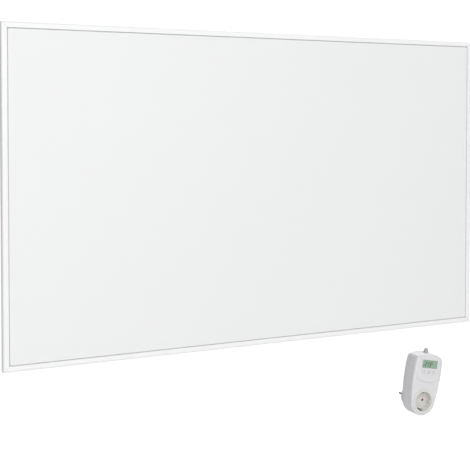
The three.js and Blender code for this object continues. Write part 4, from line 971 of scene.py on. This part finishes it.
def housing_skirt(parting, lip, roll_to_face):
    """Rings from a shell's outer edge over its parting edge, up the inside of its wall and round the inner
    roll, given as (inset, depth) pairs."""
    edges = [(0.0, parting + lip), (0.3, parting), (HOUSING_WALL, parting), *roll_to_face]
    return [with_depth(inset(HOUSING, d), y) for d, y in edges]


def add_front_shell():
    """The front half: its face with the openings, a skirt down to the parting line, and an inner face."""
    window, buttons = window_loop(), button_loops()
    rim = 0.35  # rounding of the openings' edges
    guides = []
    for step in rim * (1 - quarter(5)[0][1:]):
        guides += [window_loop(step), *button_loops(BUTTON_GAP + step)]
    shares = (0.0, 0.08, 0.18, 0.3, 0.42, 0.55, 0.7, 0.85, 1.0)
    guides += [inset(DOME, share * DOME_SLOPE) for share in shares]
    guides += [inset(HOUSING, HOUSING_ROLL * (1 - c)) for c in quarter(9)[0][1:]]
    angle = np.radians(np.linspace(225, 315, 80))
    for reach in [*(APRON - np.linspace(-0.1, 0.9, 6)), SMILE[2] + 4]:
        guides.append(np.stack([reach * np.cos(angle), SMILE[1] + reach * np.sin(angle)], -1))
    roll = [(HOUSING_ROLL - INNER_ROLL * c, -HOUSING_DEPTH + HOUSING_ROLL - INNER_ROLL * s)
            for c, s in zip(*quarter(5))]
    skirt = housing_skirt(-PARTING - PARTING_GAP / 2, -0.3, roll)
    form = plate(inset(HOUSING), [window, *buttons, circle((0, 0), SOCKET_HOLE, 120)],
                 softened(housing_front, [window, *buttons], rim), housing_inside, guides, 3.2, skirt)
    make_piece("front_shell", on_thermostat(form), "thermostat", "housing", ["housing_front"], 40)


def add_rear_shell():
    """The rear half: its back with screw wells and earth slots, and a skirt up to the parting line."""
    wells = [circle(place, SCREW_WELL, 36) for place in SCREW_PLACES]
    slots = [dense(inset(rectangle((0, side * 19.8), (5.0, 3.6), 0.4, 4)), 1.0) for side in (-1, 1)]
    outer, openings = inset(HOUSING), [*wells, *slots]
    cosine, sine = quarter(9)
    roll = [(HOUSING_ROLL - INNER_ROLL * c, -HOUSING_ROLL + INNER_ROLL * s) for c, s in zip(cosine, sine)]
    skirt = housing_skirt(-PARTING + PARTING_GAP / 2, 0.3, roll)

    def back(points):
        edge, opening = edge_distance(points, outer), nearest_edge(points, openings)
        return -rounding(edge, HOUSING_ROLL) - rounding(opening, 0.3)

    guides = [inset(HOUSING, HOUSING_ROLL * (1 - c)) for c in cosine[1:]]
    guides += [circle(place, SCREW_WELL + d, 36) for place in SCREW_PLACES for d in (0.05, 0.15, 0.3)]
    form = plate(outer, openings, back, level(-HOUSING_WALL), guides, 4.0, skirt)
    make_piece("rear_shell", on_thermostat(form), "thermostat", "housing", ["housing_rear"], 40)


def notched_circle(radius, notches, count):
    """Points of a circle with straight-sided notches (angle, half width, floor radius) cut into it."""
    angle = np.linspace(0, 2 * np.pi, count, endpoint=False)
    reach = np.full(count, float(radius))
    for middle, half, floor in notches:
        off = (angle - middle + np.pi) % (2 * np.pi) - np.pi
        inside = np.abs(np.sin(off) * radius) < half
        reach = np.where(inside & (np.abs(off) < 1), floor / np.cos(off), reach)
    return np.stack([reach * np.cos(angle), reach * np.sin(angle)], -1)


def add_plug():
    """The plug's barrel: a notched circle carried back, with a rounded end and two pin holes."""
    half, earth_floor, key_floor = 2.5, 17.7, 17.84
    notches = [(np.pi / 2, half, earth_floor), (-np.pi / 2, half, earth_floor), (0, half, key_floor),
               (np.pi, half, key_floor)]
    outer = notched_circle(BARREL_RADIUS, notches, 320)
    holes = [circle((side * PIN_OFFSET, 0), PIN_RADIUS + 0.2, 36) for side in (-1, 1)]
    guides = [shrunk(outer, d) for d in (0.12, 0.35, 0.7, 1.0)]
    end = softened(level(-BARREL_LENGTH), [outer], 1.0)
    points, faces = plate(outer, holes, end, level(0.05), guides, 3.5)
    form = on_thermostat((points * (1, -1, 1), faces))
    make_piece("plug_barrel", form, "thermostat", "housing", ["housing_rear"], 50)


def add_pins():
    """Round pins with a domed nose: radius falls as the square root of what is left of the way to the tip."""
    root, nose, blunt = -4.1, 2.0, 0.93
    way = np.linspace(0, 1, 12)
    tip = np.stack([PIN_RADIUS * np.sqrt(1 - blunt * way**2), PIN_TIP - nose + nose * way], -1)
    for name, x in (("live", -PIN_OFFSET), ("neutral", PIN_OFFSET)):
        form = turned([(0, root), (PIN_RADIUS, root), *tip, (0, PIN_TIP)], (x, 0), 48)
        make_piece(f"pin_{name}", on_thermostat(form), "thermostat", "nickel", [f"plug_pin_{name}"])


# -------------------------------------------------------------------------------- thermostat: socket
def open_disc(rim, holes, face, back, guides):
    """Both faces of a round floor and the walls of its holes. Its outer edge is the cup's."""
    shape, faces, borders = tessellated(rim, holes, guides, 3.0)
    form = joined((with_depth(shape, face(shape)), faces), (with_depth(shape, back), faces))
    for border in borders[1:]:
        form[1].extend(walls(border, np.array(border) + len(shape)))
    return form


def add_socket():
    """The socket's cup: a profile turned round the plug axis, a floor with two pin holes, notches for the
    earth clips, and a keying rib on either side."""
    front, floor, back = SOCKET_FRONT, SOCKET_FLOOR, SOCKET_BACK
    fillet, collar, collar_edge, collar_back, tube, pin_hole, flare = 1.2, 24.6, 1.2, -36.3, 21.7, 2.7, 0.45
    cosine, sine = quarter(6)
    profile = [(FLOOR_RADIUS, floor), (18.0, floor)]
    profile += [(18.2 + fillet * s, floor - fillet * (1 - c)) for c, s in zip(cosine, sine)]
    profile += [(20.1, front + 1.5), (20.35, front + 0.9), (20.9, front + 0.25), (21.5, front)]
    profile += [(collar + collar_edge * s, front + collar_edge * (1 - c)) for c, s in zip(cosine, sine)]
    profile += [(collar + collar_edge, collar_back), (tube, collar_back), (tube, back), (FLOOR_RADIUS, back)]
    holes = [circle((side * PIN_OFFSET, 0), pin_hole, 40) for side in (-1, 1)]

    def face(points):
        return floor + flare * np.clip(1 - nearest_edge(points, holes) / flare, 0, 1) ** 1.5

    guides = [circle((side * PIN_OFFSET, 0), pin_hole + d, 40)
              for side in (-1, 1) for d in (0.15, 0.3, 0.45, 0.6)]
    disc = open_disc(circle((0, 0), FLOOR_RADIUS, 120), holes, face, back, guides)
    cup = joined(turned(profile, sides=120), disc)
    notch, notch_place, rib, rib_place = 2.6, 20.0, (1.5, 2.5), 19.3  # half sizes, and places off the axis
    notches = [block((-notch, -35.2, place - notch), (notch, -16.0, place + notch), 0.2)
               for place in (-notch_place, notch_place)]
    ribs = [block((place - rib[0], -33.0, -rib[1]), (place + rib[0], -19.5, rib[1]), 0.9)
            for place in (-rib_place, rib_place)]
    form = on_thermostat(carved(cup, notches, ribs))
    make_piece("socket_insert", form, "thermostat", "socket_face", ["socket_cup"], 40)


def strap_section(low, high):
    """A flat bar's section between two places across, with rounded edges, as (across, out) points."""
    return inset(rectangle(((low + high) / 2, 0), (high - low, 0.8), 0.18, 4))


def add_earth_clips():
    """Sprung nickel straps: two prongs bowed into the socket, and a flat strap through to the plug's side."""
    bow = [(-34.3, 20.9), (-31.0, 17.8), (-27.5, 16.8), (-23.0, 19.0), (-20.8, 20.9)]
    run = [(-21.2, 20.9), (-19.0, 20.9), (-12.0, 20.9), (-3.0, 20.9), (-1.2, 20.2), (0.4, 19.0), (2.0, 18.4),
           (8.0, 18.4), (15.0, 18.4)]
    for name, side in (("top", 1), ("bottom", -1)):
        clip, strap = smooth_path(np.array(bow) * (1, side), 8), smooth_path(np.array(run) * (1, side), 6)
        form = joined(swept(strap_section(-STRAP_HALF, -STRAP_SPLIT), clip),
                      swept(strap_section(STRAP_SPLIT, STRAP_HALF), clip),
                      swept(strap_section(-STRAP_HALF, STRAP_HALF), strap))
        make_piece(f"earth_clip_{name}", on_thermostat(form), "thermostat", "nickel", [f"earth_strap_{name}"])


# -------------------------------------------------------------------------------- thermostat: controls
def printed(loop, front, back):
    """A thin raised print with the loop's outline."""
    return solid([with_depth(loop, front), with_depth(loop, back)])


def bar(centre, width, height):
    return inset(rectangle(centre, (width, height), 0.2, 4))


def plus_sign(x, z, arm=1.45, half=0.31):
    """The outline of a plus: twelve corners."""
    a, t = arm, half
    corners = [(a, -t), (a, t), (t, t), (t, a), (-t, a), (-t, t),
               (-a, t), (-a, -t), (-t, -t), (-t, -a), (t, -a), (t, -t)]
    return [np.array(corners) + (x, z)]


def minus_sign(x, z):
    return [bar((x, z), 2.9, 0.62)]


def power_sign(x, z, radius=1.4, thick=0.5, gap=38):
    """An open ring with a bar through its gap, which is half as wide, in degrees, as given."""
    angle = np.radians(np.linspace(90 + gap, 450 - gap, 40))
    ring = np.stack([np.cos(angle), np.sin(angle)], -1)
    loop = np.concatenate([ring * (radius + thick / 2), ring[::-1] * (radius - thick / 2)])
    return [loop + (x, z - 0.15), bar((x, z + 0.95), thick, 1.7)]


SIGNS = {"button_plus": plus_sign, "button_power": power_sign, "button_minus": minus_sign}


def add_buttons():
    """Oval caps: rings of one ellipse, inset by a profile of flange, wall, rounded edge and crown."""
    front = -HOUSING_DEPTH - DOME_RISE
    face, edge, crown, flat = front - 0.72, 0.6, 0.12, 2.9
    cosine, sine = quarter(6)
    profile = [(-1.0, front + 3.4), (-1.0, front + 2.5), (0.0, front + 2.5), (0.0, face + edge)]
    profile += [(edge * (1 - c), face + edge - edge * s) for c, s in zip(cosine[1:], sine[1:])]
    profile += [(edge + flat * t, face - crown * math.sin(t * math.pi / 2)) for t in (0.25, 0.5, 0.75, 1.0)]
    for name, x in BUTTON_PLACES.items():
        cap = solid([with_depth(oval((x, BUTTON_HEIGHT), BUTTON_SIZE[0] - d, BUTTON_SIZE[1] - d, 64), y)
                     for d, y in profile])
        form = joined(cap, rod(1.5, front + 3.3, front + 4.1, (x, BUTTON_HEIGHT), 24))
        make_piece(f"{name}_cap", on_thermostat(form), name, "button", [name])
        sign = joined(*(printed(loop, face - 0.16, face + 0.1) for loop in SIGNS[name](x, BUTTON_HEIGHT)))
        make_piece(f"{name}_sign", on_thermostat(sign), name, finish=PRINT)


# Segments of a digit: a at the top, then clockwise b, c, d, e, f, and g across the middle, as shares of its
# width and height.
SEGMENTS = {"a": ((0, 1), (1, 1)), "b": ((1, 0.5), (1, 1)), "c": ((1, 0), (1, 0.5)), "d": ((0, 0), (1, 0)),
            "e": ((0, 0), (0, 0.5)), "f": ((0, 0.5), (0, 1)), "g": ((0, 0.5), (1, 0.5))}
LIT = {"2": "abged", "1": "bc", "5": "afgcd", "c": "ged"}
SLANT = math.tan(math.radians(9))


def digit(character, low, size, thick):
    """Slanted bars of one character. Low is its lower left corner, and each bar is a pointed hexagon."""
    gap = 0.16 * thick
    loops = []
    for name in LIT[character]:
        start, end = np.array(SEGMENTS[name]) * size
        along = (end - start) / np.linalg.norm(end - start)
        side = np.array([-along[1], along[0]]) * thick / 2
        start, end, shoulder = start + along * gap, end - along * gap, along * thick / 2
        loop = np.array([start, start + shoulder - side, end - shoulder - side, end, end - shoulder + side,
                         start + shoulder + side])
        loops.append(np.stack([loop[:, 0] + loop[:, 1] * SLANT, loop[:, 1]], -1) + low)
    return loops


def add_display():
    """Dark figures on the front of the display: three digits, a point, a raised unit and a small mark."""
    foot, figure, stroke, unit, unit_stroke = 74.6, (3.7, 7.5), 1.35, (2.7, 7.4), 1.1
    front = box_of("display_module")[0][1] - PLUG_AXIS[1]
    loops = []
    for character, x in (("2", -12.0), ("1", -7.6), ("5", -0.6)):
        loops += digit(character, (x, foot), figure, stroke)
    loops += digit("c", (5.2, 78.4), unit, unit_stroke)
    loops += [bar((-2.3, 74.7), 0.95, 0.95), np.array([(-17.2, 74.0), (-14.9, 74.0), (-16.05, 76.2)])]
    form = on_thermostat(joined(*(printed(loop, front - 0.12, front - 0.03) for loop in loops)))
    make_piece("display_figures", form, "thermostat", "display", finish=DIGITS)


def add_boot():
    """A tapered ribbed sleeve: radius falls evenly along its length, less a rounded groove between ribs."""
    base, length, ribs, wide, narrow = BOOT_BASE + SEAT_GAP, 8.4, 4, 5.5, 3.15
    along = np.linspace(0, 1, 66)
    phase = (along * ribs) % 1.0
    groove = 0.95 * np.sin(np.pi * ease((phase - 0.5) / 0.5)) ** 0.8
    groove = np.where(along > (ribs - 0.5) / ribs, 0, groove)
    outside = np.stack([wide + (narrow - wide) * along - groove, base + length * along], -1)
    inside = [(2.7, base + length), (2.4, base + length - 0.5), (1.9, base + 2), (1.9, base - 5.0)]
    neck = [(5.4, base - 5.0), (5.4, base - 3.0), (3.7, base - 2.9), (3.7, base)]
    form = turned([*outside, *inside, *neck], (0, -PARTING), 56, "z", closed=True)
    make_piece("ribbed_boot", on_thermostat(form), "thermostat", "boot", ["cable_boot"], 50)


# -------------------------------------------------------------------------------- stage, in metres
SEEN_WHITE = {"Color": (1, 1, 1, 1), "Strength": 1.05}  # what the camera sees round the heater
FLOOR_LIFT = 0.9  # share of white in what the camera sees of the floor near the heater


def make_floor_finish():
    """Pale floor that fades into the white surround with the distance from the heater. What the camera sees
    of it is lifted towards white, but the heater gets only the light that a pale floor throws back."""
    material = plain("pale floor", (0.93, 0.93, 0.93), 0.6, 0.7, 300, 2, 0.01)
    tree = material.node_tree
    far, seen = add_node(tree, "VectorMath"), add_node(tree, "Math")
    far.operation, seen.operation = "LENGTH", "MULTIPLY"
    tree.links.new(add_node(tree, "TexCoord").outputs["Object"], far.inputs[0])
    tree.links.new(remapped(tree, far.outputs["Value"], FLOOR_LIFT, 1.0, start=1.2, end=6.0), seen.inputs[0])
    tree.links.new(add_node(tree, "LightPath").outputs["Is Camera Ray"], seen.inputs[1])
    white = add_node(tree, "Emission", **SEEN_WHITE).outputs["Emission"]
    floor = tree.nodes["Principled BSDF"].outputs["BSDF"]
    shader = mixed_shader(tree, seen.outputs["Value"], floor, white)
    tree.links.new(shader, tree.nodes["Material Output"].inputs["Surface"])
    return material


def add_floor():
    """A wide flat grid, well below the heater."""
    side, height, cells = 14.0, -1.25, 14
    step = np.linspace(-side, side, cells + 1)
    x, y = np.meshgrid(step, step, indexing="ij")
    points = np.stack([x, y, np.full_like(x, height)], -1).reshape(-1, 3)
    mesh = bpy.data.meshes.new("floor")
    mesh.from_pydata(points.tolist(), [], grid_cells(cells + 1, cells + 1)[1].tolist())
    mesh.materials.append(make_floor_finish())
    floor = shown("floor", mesh)


def add_light(name, place, aim, size, power):
    """A large soft light that faces a point."""
    data = bpy.data.lights.new(name, "AREA")
    data.shape, data.size, data.size_y = "RECTANGLE", *size
    data.energy = power
    lamp = shown(name, data)
    lamp.location = place
    lamp.rotation_mode = "QUATERNION"
    lamp.rotation_quaternion = (Vector(aim) - Vector(place)).to_track_quat("-Z", "Y")


def light_studio():
    """A surround that the camera sees as plain white and that lights the heater mostly from the room's side,
    with large soft lights in front and behind."""
    scene = bpy.context.scene
    scene.view_settings.view_transform = "Standard"
    scene.view_settings.look = "None"
    scene.world = bpy.data.worlds.new("studio")
    scene.world.use_nodes = True
    tree = scene.world.node_tree
    surround = tree.nodes["Background"]
    heading = add_node(tree, "SeparateXYZ", Vector=add_node(tree, "TexCoord").outputs["Generated"])
    towards_room = remapped(tree, heading.outputs["Y"], 0.0, 1.0, start=0.2, end=-0.9)
    shade = blended(tree, towards_room, (0.2, 0.21, 0.23, 1), (0.97, 0.97, 0.965, 1))
    tree.links.new(shade, surround.inputs["Color"])
    seen = add_node(tree, "Background", **SEEN_WHITE)
    camera_ray = add_node(tree, "LightPath").outputs["Is Camera Ray"]
    shader = mixed_shader(tree, camera_ray, surround.outputs["Background"], seen.outputs["Background"])
    tree.links.new(shader, tree.nodes["World Output"].inputs["Surface"])
    add_light("key", place=(-1.5, -3.3, 1.5), aim=(-0.1, 0, 0), size=(2.2, 2.2), power=62)
    add_light("rear", place=(2.4, 2.2, 2.0), aim=(0, 0, 0), size=(3.2, 2.6), power=88)


def add_camera():
    """The photograph's view: from the left of the panel's middle, level with its upper half."""
    data = bpy.data.cameras.new("camera")
    camera = shown("camera", data)
    bpy.context.scene.camera = camera
    turn, pitch = math.radians(25.827), math.radians(1.618)
    data.lens, data.sensor_width = 74.94, 36.0
    data.shift_y = -0.18
    camera.location = (-0.8668, -1.705, 0.1279)
    camera.rotation_euler = (math.pi / 2 - pitch, 0, -turn)


add_camera()
light_studio()
add_floor()
dress_cad_nodes()
add_frame()
add_heated_face()
add_seal_bead()
add_back_sheet()
add_back_screws()
add_brackets()
add_terminal_box()
add_lid_screws()
add_gland()
add_front_shell()
add_rear_shell()
add_plug()
add_pins()
add_socket()
add_earth_clips()
add_buttons()
add_display()
add_boot()
